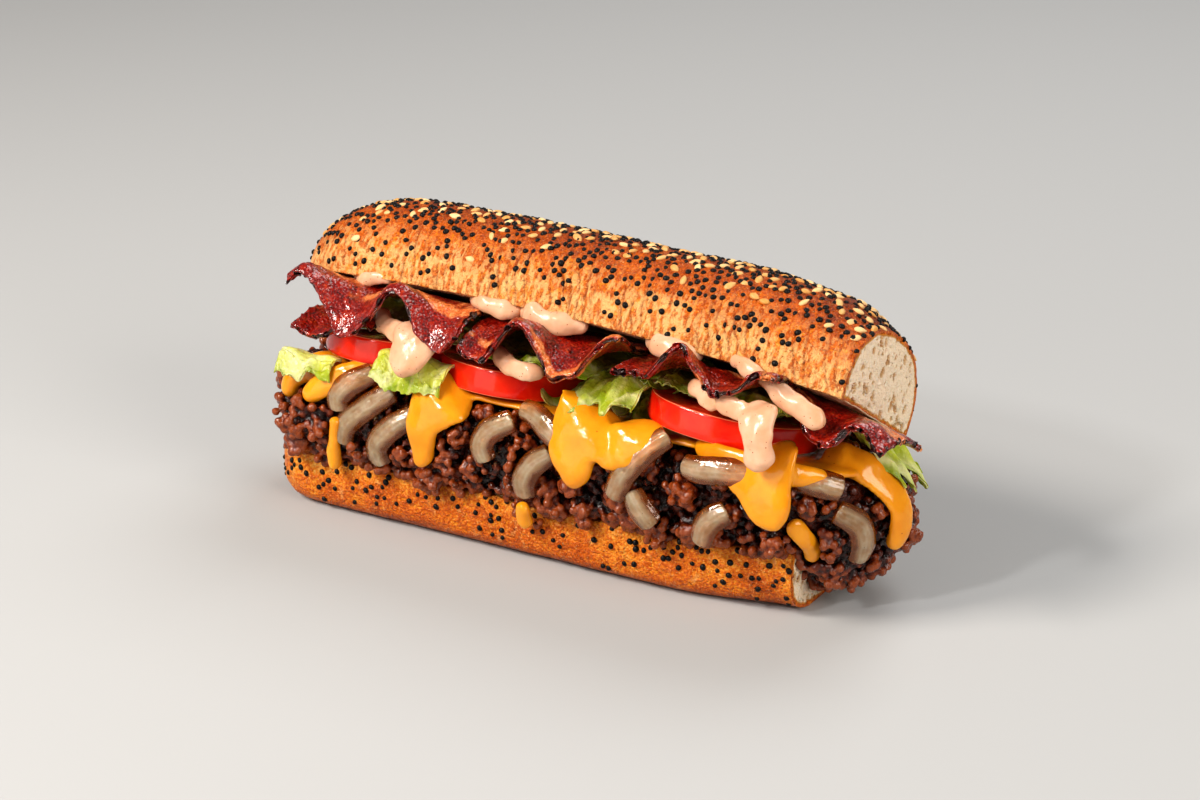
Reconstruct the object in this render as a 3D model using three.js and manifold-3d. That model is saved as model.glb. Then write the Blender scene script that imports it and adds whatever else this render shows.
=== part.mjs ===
// A loaded submarine sandwich, about eight inches long, cut square at its +X end and round at its -X end.
// A seeded crown leans back on the filling like an open mouth: crumbled beef on the heel, fried onion strips and
// melted cheese sauce over the beef, tomato slices, lettuce leaves, wavy bacon rashers and dollops of pink mayonnaise.
// Millimetres. X runs along the loaf, the open mouth faces -Y, and +Z is up.
import * as THREE from "three";
import { mergeVertices } from "three/addons/utils/BufferGeometryUtils.js";
import Module from "manifold-3d";

const wasm = await Module();
wasm.setup();

// Driving dimensions
const GAP = 0.35; // left between two pieces that touch
const SKEW = 0.055; // how far the heel and the beef drift towards +Y for each millimetre of X
const HEEL = { left: -111, cut: 83, half: 31.4, height: 19, endRadius: 22, power: 6.5, powerAtCut: 3.8 };
const CROWN = { left: -112.5, cut: 96.5, half: 29, height: 30.2, endRadius: 30, power: 2.5 };
const CROWN_LIP = { y: -22, z: 82, sag: 5.5, sagFrom: -15, sagReach: 110 };
const CROWN_LEAN = { middle: 28, cut: 33.5 }; // degrees that the crown leans back
const TUCK = 0.05; // share of the half width by which a loaf's side draws in at its cut edge
const BEEF = { left: -108, right: 98, half: 30.5, floor: 19.4, height: 22.8, slope: 0.3, endRadius: 20, power: 3 };
const LAYER_SLOPE = 0.25; // fall of the cheese and the tomato from the mouth to the back
const TOMATO = { thickness: 8.6, lean: 14 };

const colours = {
  crust: 0xb8672a, beef: 0x4a2417, onion: 0xc9a27c, cheese: 0xf0a41c, tomato: 0xd8230f,
  lettuce: 0x9fbe3c, bacon: 0x7d1f16, sauce: 0xe2b99a,
};
const finish = (colour, roughness) => new THREE.MeshStandardMaterial({ color: colour, roughness, metalness: 0 });
const materials = {
  crust: finish(colours.crust, 0.6), beef: finish(colours.beef, 0.45), onion: finish(colours.onion, 0.25),
  cheese: finish(colours.cheese, 0.25), tomato: finish(colours.tomato, 0.2), lettuce: finish(colours.lettuce, 0.4),
  bacon: finish(colours.bacon, 0.3), sauce: finish(colours.sauce, 0.3),
};

// Small helpers
const V = (x, y, z) => new THREE.Vector3(x, y, z);
const radians = THREE.MathUtils.degToRad;
const mix = THREE.MathUtils.lerp;
const smooth = (from, to, x) => THREE.MathUtils.smoothstep(x, from, to);
const power = (value, exponent) => Math.sign(value) * Math.abs(value) ** exponent;

// The k-th of an endless row of evenly spread points in the unit square.
const SPREAD = [0.7548776662, 0.5698402910];
const spread = (k) => SPREAD.map((step) => (0.5 + k * step) % 1);

// A number from 0 to 1 that looks random and is the same each time.
const scatter = (k, salt) => {
  const value = Math.sin(k * 12.9898 + salt * 78.233) * 43758.5453;
  return value - Math.floor(value);
};

// A closed solid from points and triangles, whichever way round the triangles were listed.
function solidFrom(points, triangles) {
  let volume = 0;
  for (const [a, b, c] of triangles) volume += points[a].dot(points[b].clone().cross(points[c]));
  const outward = volume < 0 ? triangles.map(([a, b, c]) => [a, c, b]) : triangles;
  return new wasm.Manifold(new wasm.Mesh({
    numProp: 3,
    vertProperties: new Float32Array(points.flatMap((p) => [p.x, p.y, p.z])),
    triVerts: new Uint32Array(outward.flat()),
  }));
}

function solidOf(geometry) {
  const bare = geometry.clone();
  bare.deleteAttribute("normal");
  bare.deleteAttribute("uv");
  const merged = mergeVertices(bare, 1e-4);
  const position = merged.getAttribute("position");
  const points = Array.from({ length: position.count }, (_, i) => new THREE.Vector3().fromBufferAttribute(position, i));
  const triangles = [];
  for (let i = 0; i < merged.index.count; i += 3) {
    const [a, b, c] = [0, 1, 2].map((k) => merged.index.getX(i + k));
    if (a !== b && b !== c && a !== c) triangles.push([a, b, c]);
  }
  return solidFrom(points, triangles);
}

function geometryOf(solid) {
  const mesh = solid.getMesh();
  const geometry = new THREE.BufferGeometry();
  geometry.setAttribute("position", new THREE.BufferAttribute(new Float32Array(mesh.vertProperties), 3));
  geometry.setIndex(new THREE.BufferAttribute(new Uint32Array(mesh.triVerts), 1));
  geometry.computeVertexNormals();
  return geometry;
}

// A skin over rings of equally many points, closed at both ends by a fan.
function loft(rings) {
  const count = rings[0].length;
  const points = rings.flat();
  const triangles = [];
  for (let r = 0; r + 1 < rings.length; r++) {
    for (let i = 0; i < count; i++) {
      const a = r * count + i;
      const b = r * count + ((i + 1) % count);
      triangles.push([a, b, b + count], [a, b + count, a + count]);
    }
  }
  for (const [ring, first] of [[rings[0], 0], [rings.at(-1), (rings.length - 1) * count]]) {
    const hub = points.push(ring.reduce((sum, p) => sum.add(p), V(0, 0, 0)).divideScalar(count)) - 1;
    for (let i = 0; i < count; i++) {
      const edge = [first + ((i + 1) % count), first + i];
      triangles.push(first ? [edge[1], edge[0], hub] : [edge[0], edge[1], hub]);
    }
  }
  return solidFrom(points, triangles);
}

// A wavy sheet: surface(u, v) gives its middle, u and v from 0 to 1, and both faces are split alike.
function sheet(surface, alongSteps, acrossSteps, thickness, grow) {
  const step = 1e-3;
  const [alongReach, acrossReach] = [surface(0, 0.5).distanceTo(surface(1, 0.5)), surface(0.5, 0).distanceTo(surface(0.5, 1))];
  const beyond = (share, reach) => share + (2 * share - 1) * (grow / reach);
  const faces = [[], []];
  for (let i = 0; i <= alongSteps; i++) {
    for (let j = 0; j <= acrossSteps; j++) {
      const [u, v] = [beyond(i / alongSteps, alongReach), beyond(j / acrossSteps, acrossReach)];
      const along = surface(u + step, v).sub(surface(u - step, v));
      const across = surface(u, v + step).sub(surface(u, v - step));
      const lift = along.cross(across).setLength(thickness / 2 + grow);
      faces[0].push(surface(u, v).add(lift));
      faces[1].push(surface(u, v).sub(lift));
    }
  }
  const row = acrossSteps + 1;
  const under = faces[0].length;
  const triangles = [];
  for (let i = 0; i < alongSteps; i++) {
    for (let j = 0; j < acrossSteps; j++) {
      const a = i * row + j;
      triangles.push([a, a + 1, a + row + 1], [a, a + row + 1, a + row]);
      triangles.push([under + a, under + a + row + 1, under + a + 1], [under + a, under + a + row, under + a + row + 1]);
    }
  }
  const rim = [];
  for (let i = 0; i < alongSteps; i++) rim.push(i * row);
  for (let j = 0; j < acrossSteps; j++) rim.push(alongSteps * row + j);
  for (let i = alongSteps; i > 0; i--) rim.push(i * row + acrossSteps);
  for (let j = acrossSteps; j > 0; j--) rim.push(j);
  rim.forEach((a, k) => {
    const b = rim[(k + 1) % rim.length];
    triangles.push([a, b, under + b], [a, under + b, under + a]);
  });
  return solidFrom([...faces[0], ...faces[1]], triangles);
}

// A flattened strand along a curve: at each station half its width and half its thickness, out being its outer side.
function strand({ path, widths, thickness, out = [0, -1, 0.3], sides = 6, steps = 4 }, grow) {
  const curve = new THREE.CatmullRomCurve3(path.map((p) => V(...p)), false, "centripetal");
  const outward = V(...out).normalize();
  const stationWidth = (t) => {
    const place = t * (widths.length - 1);
    const low = Math.min(Math.floor(place), widths.length - 2);
    return mix(widths[low], widths[low + 1], place - low);
  };
  const rings = [];
  for (let s = 0; s <= steps; s++) {
    const t = s / steps;
    const tangent = curve.getTangent(t);
    const normal = outward.clone().addScaledVector(tangent, -outward.dot(tangent)).normalize();
    const side = tangent.clone().cross(normal);
    const end = s === 0 || s === steps;
    const shrink = end ? 0.55 : 1;
    const centre = curve.getPoint(t).addScaledVector(tangent, end ? (s ? grow : -grow) : 0);
    rings.push(Array.from({ length: sides }, (_, i) => {
      const angle = (2 * Math.PI * (i + 0.5)) / sides;
      return centre.clone()
        .addScaledVector(side, Math.cos(angle) * (stationWidth(t) * shrink + grow))
        .addScaledVector(normal, Math.sin(angle) * (thickness * shrink + grow));
    }));
  }
  return loft(rings);
}

const union = (solids) => solids.reduce((whole, next) => whole.add(next));
const largest = (solid) => solid.decompose().reduce((best, body) => (body.volume() > best.volume() ? body : best));

// Bread: half a loaf, its outline first over the crust and then back across the cut side
const ARC_STEPS = 14;
const CUT_STEPS = 4;

function halfLoafOutline(half, height, exponent) {
  const outline = [];
  for (let i = 0; i <= ARC_STEPS; i++) {
    const angle = (Math.PI * i) / ARC_STEPS;
    const rise = Math.sin(angle) ** (2 / exponent);
    const drawnIn = 1 - TUCK * (1 - rise) ** 3;
    outline.push([-half * drawnIn * power(Math.cos(angle), 2 / exponent), height * rise]);
  }
  const edge = half * (1 - TUCK);
  for (let i = 1; i < CUT_STEPS; i++) outline.push([edge * (1 - (2 * i) / CUT_STEPS), 0]);
  return outline;
}

// 0 at a round end's tip, 1 from one radius inwards.
const endRound = (distance, radius) => Math.sqrt(Math.max(0, 1 - (Math.max(0, radius - distance) / radius) ** 2));

function heelPoint(x, across, depth) {
  const taper = 3 * smooth(40, HEEL.cut, x);
  return V(x, SKEW * x + across, HEEL.height + taper - Math.min(depth, HEEL.height + taper));
}

function heelRing(x, grow) {
  const end = endRound(x - HEEL.left + 0.3, HEEL.endRadius);
  const taper = 3 * smooth(40, HEEL.cut, x);
  const half = (HEEL.half - 0.9 * taper) * (0.3 + 0.7 * end);
  const exponent = mix(HEEL.power, HEEL.powerAtCut, taper / 3);
  const height = (HEEL.height + taper) * 1.03;
  return halfLoafOutline(half + grow, height + grow, exponent).map(([across, depth]) => {
    const p = heelPoint(x, across, depth - (depth ? 0 : grow));
    p.z = mix((HEEL.height + taper) / 2, p.z, 0.55 + 0.45 * end);
    if (depth === 0) p.z += grow;
    return p;
  });
}

function crownFrame(x) {
  const lean = radians(mix(CROWN_LEAN.middle, CROWN_LEAN.cut, smooth(40, CROWN.cut, x)));
  const half = CROWN.half - 1 * smooth(40, CROWN.cut, x);
  const lip = V(x, CROWN_LIP.y, CROWN_LIP.z - CROWN_LIP.sag * ((x - CROWN_LIP.sagFrom) / CROWN_LIP.sagReach) ** 2);
  const chord = V(0, Math.cos(lean), -Math.sin(lean));
  const rise = V(0, Math.sin(lean), Math.cos(lean));
  return { half, chord, rise, centre: lip.addScaledVector(chord, half) };
}

function crownRing(x, grow) {
  const { half, chord, rise, centre } = crownFrame(x);
  const distance = x - CROWN.left + 0.3;
  const width = half * endRound(distance, CROWN.endRadius);
  const full = CROWN.height + 2 * smooth(20, 70, x) - 6 * smooth(82, CROWN.cut + 2, x);
  const height = full * (0.12 + 0.88 * endRound(distance, 1.5 * CROWN.endRadius));
  return halfLoafOutline(width + grow, height + grow, CROWN.power).map(([across, depth]) =>
    centre.clone().addScaledVector(chord, across).addScaledVector(rise, depth ? depth : -grow));
}

// Stations along a loaf, closer together over its round end.
function loafStations(left, right, radius, even) {
  const round = [0, 0.12, 0.32, 0.62, 1].map((share) => left + share * radius);
  for (let i = 1; i < even; i++) round.push(mix(left + radius, right - 9, i / (even - 1)));
  return [...round, right];
}

const heel = (grow) => loft(loafStations(HEEL.left - grow, HEEL.cut + grow, HEEL.endRadius, 8).map((x) => heelRing(x, grow)));
const crown = (grow) => loft(loafStations(CROWN.left - grow, CROWN.cut + grow, 1.5 * CROWN.endRadius, 8).map((x) => crownRing(x, grow)));

// Seeds: sesame lies along the loaf over the top of the crown, poppy is spread over both crusts
const SESAME = { count: 36, length: 1.75, width: 1.1, height: 0.75 };
const POPPY = { radius: 0.85, onCrown: 32, onHeel: 26 };

// The place and the outward direction at a share of the arc of a ring, 0 at the mouth's edge.
function onCrust(ring, x, share) {
  const at = (s) => {
    const place = THREE.MathUtils.clamp(s, 0, 0.999) * ARC_STEPS;
    const points = ring(x, 0);
    return points[Math.floor(place)].clone().lerp(points[Math.floor(place) + 1], place % 1);
  };
  const slope = at(share + 0.02).sub(at(share - 0.02));
  return { point: at(share), out: V(1, 0, 0).cross(slope).normalize() };
}

function seed(shape, { point, out }, turn, size) {
  const placed = shape.clone().scale(...size);
  placed.rotateZ(turn);
  placed.applyQuaternion(new THREE.Quaternion().setFromUnitVectors(V(0, 0, 1), out));
  placed.translate(point.x, point.y, point.z);
  return solidOf(placed);
}

const sesameShape = new THREE.SphereGeometry(1, 5, 4).rotateX(Math.PI / 2);
const poppyShape = new THREE.OctahedronGeometry(1);

function crownSeeds() {
  const seeds = [];
  for (let k = 0; k < SESAME.count; k++) {
    const [along, around] = spread(k);
    const place = onCrust(crownRing, mix(CROWN.left + 22, CROWN.cut - 5, along), mix(0.3, 0.85, around));
    seeds.push(seed(sesameShape, place, 0.9 * (scatter(k, 1) - 0.5), [SESAME.length, SESAME.width, SESAME.height]));
  }
  for (let k = 0; k < POPPY.onCrown; k++) {
    const [along, around] = spread(k + 0.37);
    const place = onCrust(crownRing, mix(CROWN.left + 14, CROWN.cut - 3, along), mix(0.1, 0.93, around));
    seeds.push(seed(poppyShape, place, scatter(k, 2) * 3, [POPPY.radius, POPPY.radius, POPPY.radius]));
  }
  return seeds;
}

function heelSeeds() {
  const seeds = [];
  for (let k = 0; k < POPPY.onHeel; k++) {
    const [along, around] = spread(k);
    const share = around < 0.65 ? mix(0.15, 0.3, around / 0.65) : mix(0.72, 0.85, (around - 0.65) / 0.35);
    const place = onCrust(heelRing, mix(HEEL.left + 20, HEEL.cut - 4, along), share);
    place.out.negate();
    if (place.point.z > 2 && place.point.z < 12.5) {
      seeds.push(seed(poppyShape, place, scatter(k, 3) * 3, [POPPY.radius, POPPY.radius, POPPY.radius]));
    }
  }
  return seeds;
}

// Tomato slices, leaning back with the layers under the crown
function tomato({ x, y, z, radius, roll = 0 }, grow) {
  const half = TOMATO.thickness / 2 + grow;
  const outer = radius + grow;
  const profile = [[0, -half], [outer - 2.2, -half], [outer, -half * 0.45], [outer, half * 0.45], [outer - 2.2, half], [0, half]];
  const disc = new THREE.LatheGeometry(profile.map(([r, h]) => new THREE.Vector2(r, h)), 20).rotateX(Math.PI / 2);
  disc.rotateX(-radians(TOMATO.lean)).rotateY(radians(roll)).translate(x, y, z);
  return solidOf(disc);
}

const tomatoes = [
  { x: -73, y: -10, z: 53.5, radius: 22.4 },
  { x: -28, y: -7, z: 51.8, radius: 24 },
  { x: 51, y: -2, z: 53, radius: 27.5, roll: 4 },
  { x: -97, y: 14, z: 47.5, radius: 12 },
];

// Bacon: a rasher lies under the crown and its front edge hangs out in waves
function rasher({ from, to, inner, bend, edge, wave, phase, length, twist = 0 }, grow) {
  const surface = (u, v) => {
    const x = mix(from, to, u);
    const swing = Math.cos((2 * Math.PI * (x - phase)) / length);
    const fall = smooth(0.3, 1, v);
    const y = v < 0.45 ? mix(inner[0], bend[0], v / 0.45) : mix(bend[0], edge[0], (v - 0.45) / 0.55);
    const base = v < 0.45 ? mix(inner[1], bend[1], v / 0.45) : mix(bend[1], edge[1], ((v - 0.45) / 0.55) ** 1.4);
    return V(x, y + SKEW * 0.5 * x, base + wave * swing * fall - twist * (u - 0.5) * 20);
  };
  return sheet(surface, 12, 2, 2.2, grow);
}

const rashers = {
  bacon_1: { from: -97, to: -31, inner: [4, 64.5], bend: [-19, 77], edge: [-33, 74], wave: 7, phase: -56, length: 35 },
  bacon_2: { from: -31, to: 25, inner: [4, 66], bend: [-18, 74], edge: [-34, 74], wave: 7, phase: -9, length: 33 },
  bacon_3: { from: 25, to: 79, inner: [2, 62.5], bend: [-17, 73], edge: [-33, 77.5], wave: 4.5, phase: 46, length: 30 },
  bacon_4: { from: 79, to: 112, inner: [0, 57.5], bend: [-12, 65.5], edge: [-28, 66], wave: 3, phase: 78, length: 26, twist: 0.4 },
  bacon_5: { from: -96, to: -66, inner: [-6, 61], bend: [-20, 65], edge: [-32, 65], wave: 3, phase: -72, length: 34 },
  bacon_back: { from: -76, to: 44, inner: [9, 60.5], bend: [20, 56], edge: [36, 49.5], wave: 1.6, phase: 0, length: 34 },
};

// Lettuce: a leaf lies flat inside and its ruffled edge shows, hanging over what is below it
function leaf({ from, to, inner, outer, ruffle, waves, ragged = 0.16, alongY = false }, grow) {
  const surface = (u, v) => {
    const reach = v * (1 - ragged * (1 + Math.cos(2 * Math.PI * waves * u + 1)) / 2);
    const bulge = ruffle * (0.25 + 0.75 * v) * Math.sin(2 * Math.PI * waves * u);
    const run = mix(from, to, u);
    const out = mix(inner[0], outer[0], reach) + 0.45 * bulge;
    const z = mix(inner[1], outer[1], reach ** 2) + bulge;
    return alongY ? V(out, run, z - 0.46 * (run - from)) : V(run, out + SKEW * 0.5 * run, z);
  };
  return sheet(surface, 10, 2, 1.3, grow);
}

const leaves = {
  lettuce_left: { from: -99, to: -79, inner: [-29, 53], outer: [-39, 47], ruffle: 1, waves: 1.5 },
  lettuce_1: { from: -63, to: -37, inner: [-26, 59], outer: [-39, 48], ruffle: 1.6, waves: 2 },
  lettuce_2: { from: -32, to: 12, inner: [8, 57.5], outer: [-31, 68.5], ruffle: 1, waves: 2.5 },
  lettuce_3: { from: 9, to: 29, inner: [6, 56], outer: [-38, 61], ruffle: 2, waves: 2 },
  lettuce_4: { from: 34, to: 78, inner: [2, 58.5], outer: [-30, 71], ruffle: 1.2, waves: 3 },
  lettuce_end: { from: 1, to: 22, inner: [79, 58.5], outer: [108, 40], ruffle: 1.6, waves: 2, alongY: true },
  lettuce_back_1: { from: -66, to: -14, inner: [12, 54], outer: [37, 41], ruffle: 1, waves: 3 },
  lettuce_back_2: { from: 10, to: 66, inner: [10, 55.5], outer: [37, 42], ruffle: 1, waves: 3 },
};

// Onion strips, draped over the outside of the beef
const ONION = { half: 3.3, thickness: 1.15 };
const onions = {
  onion_1: [[-65, -33, 53], [-72, -38, 49], [-76, -39, 44], [-76, -39, 39]],
  onion_2: [[-57, -34, 49], [-67, -38.5, 41], [-73, -39.5, 35], [-75, -39, 28]],
  onion_3: [[-48, -35, 43], [-56, -39, 37], [-61, -39.5, 30], [-60, -38, 23]],
  onion_4: [[-11, -34, 49], [-19, -37, 44], [-21, -38, 39], [-19, -38, 34]],
  onion_5: [[-10, -31, 52], [-2, -34.5, 52], [4, -37, 50], [9, -37.5, 46.5]],
  onion_6: [[4, -36, 42], [-2, -38, 37], [-5, -38.5, 31], [-5, -37.5, 25]],
  onion_7: [[43, -30, 55], [36, -35.5, 49], [31, -37.5, 42], [27, -37.5, 33]],
  onion_8: [[50, -34, 48], [57, -35, 48.5], [65, -34, 49.5], [73, -32, 50]],
  onion_9: [[66, -34, 37], [60, -36.5, 32], [57, -35.5, 24]],
  onion_10: [[85, -27, 50], [91, -25, 49], [98, -20, 46.5]],
  onion_11: [[97, -21.5, 39.5], [102, -15.5, 33.5], [103, -14, 27], [101, -13, 20]],
  onion_12: [[33, -36, 36], [37, -37, 31], [41, -36, 26]],
};
const onionOut = { onion_10: [0.5, -0.8, 0.5], onion_11: [0.85, -0.5, 0.2] };
const backOnions = { onion_back_1: -52, onion_back_2: 18, onion_back_3: 58 };

function onion(path, out, grow) {
  return strand({ path, widths: [2.6, ONION.half, ONION.half, 2.8], thickness: ONION.thickness, out }, grow);
}

// Cheese sauce: a sheet over the beef with runs over its edge, and three drips that stand on their own
const cheeseRuns = [
  { path: [[-62, -27, 53], [-74, -34, 50], [-84, -37, 45], [-89, -37, 40]], widths: [4, 4.5, 4, 3.2], thickness: 1.8 },
  { path: [[-80, -26, 52], [-92, -32, 48], [-98, -33, 43], [-99, -33, 37]], widths: [4, 4.5, 3.6, 2.8], thickness: 1.8 },
  { path: [[-34, -26, 53], [-38, -35, 50], [-42, -38.5, 42], [-42, -39, 34], [-42, -38, 28]], widths: [13, 11, 6.5, 4, 3], thickness: 2 },
  { path: [[21, -24, 54], [19, -33, 53], [14, -37.5, 46], [15, -38.5, 39], [16, -38, 34]], widths: [21, 18, 9.5, 5.5, 4], thickness: 2 },
  { path: [[33, -24, 55], [33, -32, 53], [31, -35, 47.5], [29, -36, 44]], widths: [10, 9, 6, 3.5], thickness: 1.8 },
  { path: [[72, -20, 54], [74, -29, 53], [78, -33, 46], [81, -34, 40], [83, -33, 35]], widths: [17, 15, 9, 5.5, 3.6], thickness: 2 },
  { path: [[84, -8, 50], [95, -7, 49], [103, -3, 43], [108, -1, 35], [108, -2, 28], [106, -3, 22]], widths: [6, 5.5, 4.6, 4, 3.8, 3], thickness: 1.9, out: [1, -0.3, 0.4] },
  { path: [[-40, 12, 45], [-42, 26, 43], [-42, 33, 37], [-43, 34.5, 30]], widths: [15, 13, 7, 3.5], thickness: 1.9, out: [0, 1, 0.4] },
  { path: [[36, 14, 46], [36, 30, 43], [36, 37, 37], [35, 38.5, 27]], widths: [15, 12, 6, 3.4], thickness: 1.9, out: [0, 1, 0.4] },
];
const cheeseDrips = {
  cheese_drip_1: { path: [[-76, -39.5, 37], [-77, -39, 31], [-78, -38.5, 24], [-78, -38, 18]], widths: [2, 1.8, 2.6, 2.2], thickness: 1.7 },
  cheese_drip_2: { path: [[-5, -37, 23], [-6, -36, 19], [-6, -34, 13.5]], widths: [2.6, 2.8, 2.8], thickness: 1.7 },
  cheese_drip_3: { path: [[85, -27, 35], [87, -24.5, 31], [87.5, -20, 26], [86.5, -17, 20]], widths: [3.2, 3, 2.8, 2.6], thickness: 1.6, out: [0.6, -0.7, 0.3] },
};

function cheese(grow) {
  const ring = (x) => {
    const half = 24 * endRound(Math.min(x + 99, 99 - x) + 2, 14);
    return [[-1, -1], [0, -1], [1, -1], [1, 1], [0, 1], [-1, 1]].map(([across, up]) => {
      const y = across * (half + grow);
      return V(x, y - 3 + SKEW * x, 44.4 - LAYER_SLOPE * y + up * (1.4 + grow));
    });
  };
  const stations = [-98 - grow, -92, -84, -60, -30, 0, 30, 60, 84, 92, 98 + grow];
  return union([loft(stations.map(ring)), ...cheeseRuns.map((run) => strand(run, grow))]);
}

// Mayonnaise: dollops squeezed out under the crown, and runs over the tomatoes
const dollops = {
  sauce_1: [{ path: [[-84, -18, 77.5], [-76, -22, 78], [-67, -20, 79.5]], widths: [2.4, 2.8, 2.2], thickness: 2.2 }],
  sauce_2: [{ path: [[-38, -14, 77.5], [-32, -23, 78.5], [-24, -24, 78.2], [-17, -21, 79]], widths: [2.6, 3.3, 3.2, 2.4], thickness: 2.7 }],
  sauce_3: [{ path: [[-18, -18, 78], [-13, -24, 79], [-3, -25, 78], [7, -21, 78]], widths: [3, 3.9, 3.8, 2.6], thickness: 3 }],
  sauce_4: [{ path: [[28, -18, 77.5], [33, -23, 79], [40, -24, 78.5], [48, -21, 78]], widths: [2.8, 3.6, 3.5, 2.6], thickness: 2.8 }],
  sauce_5: [{ path: [[60, -21, 79], [70, -23, 77], [80, -25, 74], [89, -26, 70.5], [94, -25, 69]], widths: [2.4, 2.6, 3.4, 4, 3.4], thickness: 2.9 }],
  sauce_6: [
    { path: [[-70, -24, 68.5], [-62, -29, 68], [-54, -33, 67.5], [-49, -36, 63]], widths: [2, 2.6, 3.6, 4.4], thickness: 2.4 },
    { path: [[-41, -27, 70], [-46, -35, 66], [-49, -38, 60.5], [-49, -37.5, 56.5]], widths: [3.4, 5.2, 6.4, 4.6], thickness: 4 },
  ],
  sauce_7: [{ path: [[-24, -24, 64], [-18, -29, 64.5], [-9, -31, 64], [-2, -29, 64.5]], widths: [2.6, 3.3, 3.2, 2.2], thickness: 2.4 }],
  sauce_8: [
    { path: [[48, -24, 69.5], [56, -28, 69], [64, -30, 69], [72, -32, 69.5]], widths: [2.2, 3, 2.8, 3.4], thickness: 2.2 },
    { path: [[66, -28, 71], [73, -34, 69], [78, -36.5, 62], [79, -36.5, 53.5]], widths: [3.6, 4.6, 5, 5], thickness: 2.8 },
  ],
};

// Beef: a core along the loaf and a clump that spills over the cut end, with crumbs fused all over
const CRUMB = { radius: 6.6, spacing: 13.4 };
const SPILL = { x: 87, y: 4, z: 27.5, size: [17.5, 24, 19.5] };

function beefHalf(x) {
  return BEEF.half * endRound(Math.min(x - BEEF.left, BEEF.right - x) + 1, BEEF.endRadius);
}

function beefPoint(x, angle, outwards) {
  const rise = 0.5 + 0.5 * power(Math.sin(angle), 2 / BEEF.power);
  const y = (beefHalf(x) + outwards) * power(Math.cos(angle), 2 / BEEF.power);
  const height = BEEF.height * (1 - (BEEF.slope * y) / BEEF.half);
  return V(x, y - 2 + SKEW * x, BEEF.floor + 3 * smooth(40, HEEL.cut, x) + rise * height);
}

function beefCore() {
  const stations = [0, 0.2, 0.6].map((share) => BEEF.left + share * BEEF.endRadius);
  for (let i = 0; i < 6; i++) stations.push(mix(BEEF.left + BEEF.endRadius, BEEF.right - BEEF.endRadius, i / 5));
  stations.push(...[0.6, 0.2, 0].map((share) => BEEF.right - share * BEEF.endRadius));
  const rings = stations.map((x) => Array.from({ length: 10 }, (_, i) => beefPoint(x, (2 * Math.PI * i) / 10, -1)));
  const spill = new THREE.SphereGeometry(1, 9, 6).scale(...SPILL.size).translate(SPILL.x, SPILL.y, SPILL.z);
  return union([loft(rings), solidOf(spill)]);
}

function crumb(centre, radius, k) {
  const size = [0, 1, 2].map((axis) => radius * mix(0.8, 1.2, scatter(k, axis)));
  const turn = [3, 4, 5].map((salt) => 2 * Math.PI * scatter(k, salt));
  const stone = new THREE.IcosahedronGeometry(1, 0).scale(...size);
  stone.rotateX(turn[0]).rotateY(turn[1]).rotateZ(turn[2]).translate(centre.x, centre.y, centre.z);
  return solidOf(stone);
}

function crumbPlaces() {
  const places = [];
  const rows = [196, 176, 158, -8]; // degrees round the core's section, the mouth's side at 180
  rows.forEach((angle, row) => {
    const behind = row === 3;
    for (let x = BEEF.left + 2 + (row % 2) * 5; x < BEEF.right - 4; x += CRUMB.spacing * (behind ? 1.4 : 1)) {
      const k = places.length;
      const turn = radians(angle + 6 * (scatter(k, 8) - 0.5));
      const centre = beefPoint(x + 3 * (scatter(k, 7) - 0.5), turn, behind ? 1 : 0);
      places.push({ centre, radius: CRUMB.radius * (behind ? 1.15 : 0.95) });
    }
  });
  for (let i = 0; i < 18; i++) {
    const [turn, lift] = spread(i);
    const [a, b] = [mix(-1.25, 1.2, turn), mix(-0.85, 0.8, lift)];
    const out = V(Math.cos(a) * Math.cos(b), Math.sin(a) * Math.cos(b), Math.sin(b));
    const centre = V(SPILL.x, SPILL.y, SPILL.z).add(out.multiply(V(...SPILL.size)));
    places.push({ centre, radius: CRUMB.radius * 0.9 });
  }
  return places;
}

// A crumb that would meet another piece is made smaller, and is left out where that isn't enough.
function crumbs(isClear) {
  return crumbPlaces().flatMap(({ centre, radius }, k) => {
    const sizes = [1.1, 0.85, 0.65].map((share) => crumb(centre, radius * share, k));
    const fitting = sizes.find((one) => one.boundingBox().min[2] > 1.5 && isClear(one));
    return fitting ? [fitting] : [];
  });
}

// Every piece in the order of its right to the space: each is cut clear of all that come before it
const pieces = [];
const add = (name, material, build, fused) => pieces.push({ name, material, build, fused });
add("bread_bottom", "crust", heel, heelSeeds);
add("bread_top", "crust", crown, crownSeeds);
tomatoes.forEach((slice, i) => add(`tomato_${i + 1}`, "tomato", (grow) => tomato(slice, grow)));
Object.entries(onions).forEach(([name, path]) => add(name, "onion", (grow) => onion(path, onionOut[name], grow)));
Object.entries(backOnions).forEach(([name, x]) => add(name, "onion", (grow) =>
  onion([[x + 10, 32 + SKEW * x, 38], [x + 3, 36 + SKEW * x, 34], [x - 2, 36.5 + SKEW * x, 27]], [0, 1, 0.3], grow)));
Object.entries(rashers).forEach(([name, spec]) => add(name, "bacon", (grow) => rasher(spec, grow)));
add("cheese_sauce", "cheese", cheese);
Object.entries(cheeseDrips).forEach(([name, drip]) => add(name, "cheese", (grow) => strand(drip, grow)));
Object.entries(leaves).forEach(([name, spec]) => add(name, "lettuce", (grow) => leaf(spec, grow)));
Object.entries(dollops).forEach(([name, parts]) => add(name, "sauce", (grow) => union(parts.map((p) => strand(p, grow)))));
add("beef", "beef", beefCore, crumbs);

const meets = (a, b) => [0, 1, 2].every((i) => a.min[i] < b.max[i] + 1 && b.min[i] < a.max[i] + 1);
const near = (solid, others) => others.filter((other) => meets(other.box, solid.boundingBox()));
const clearOf = (others) => (solid) => near(solid, others).every((other) => solid.intersect(other.grown).isEmpty());

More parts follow.
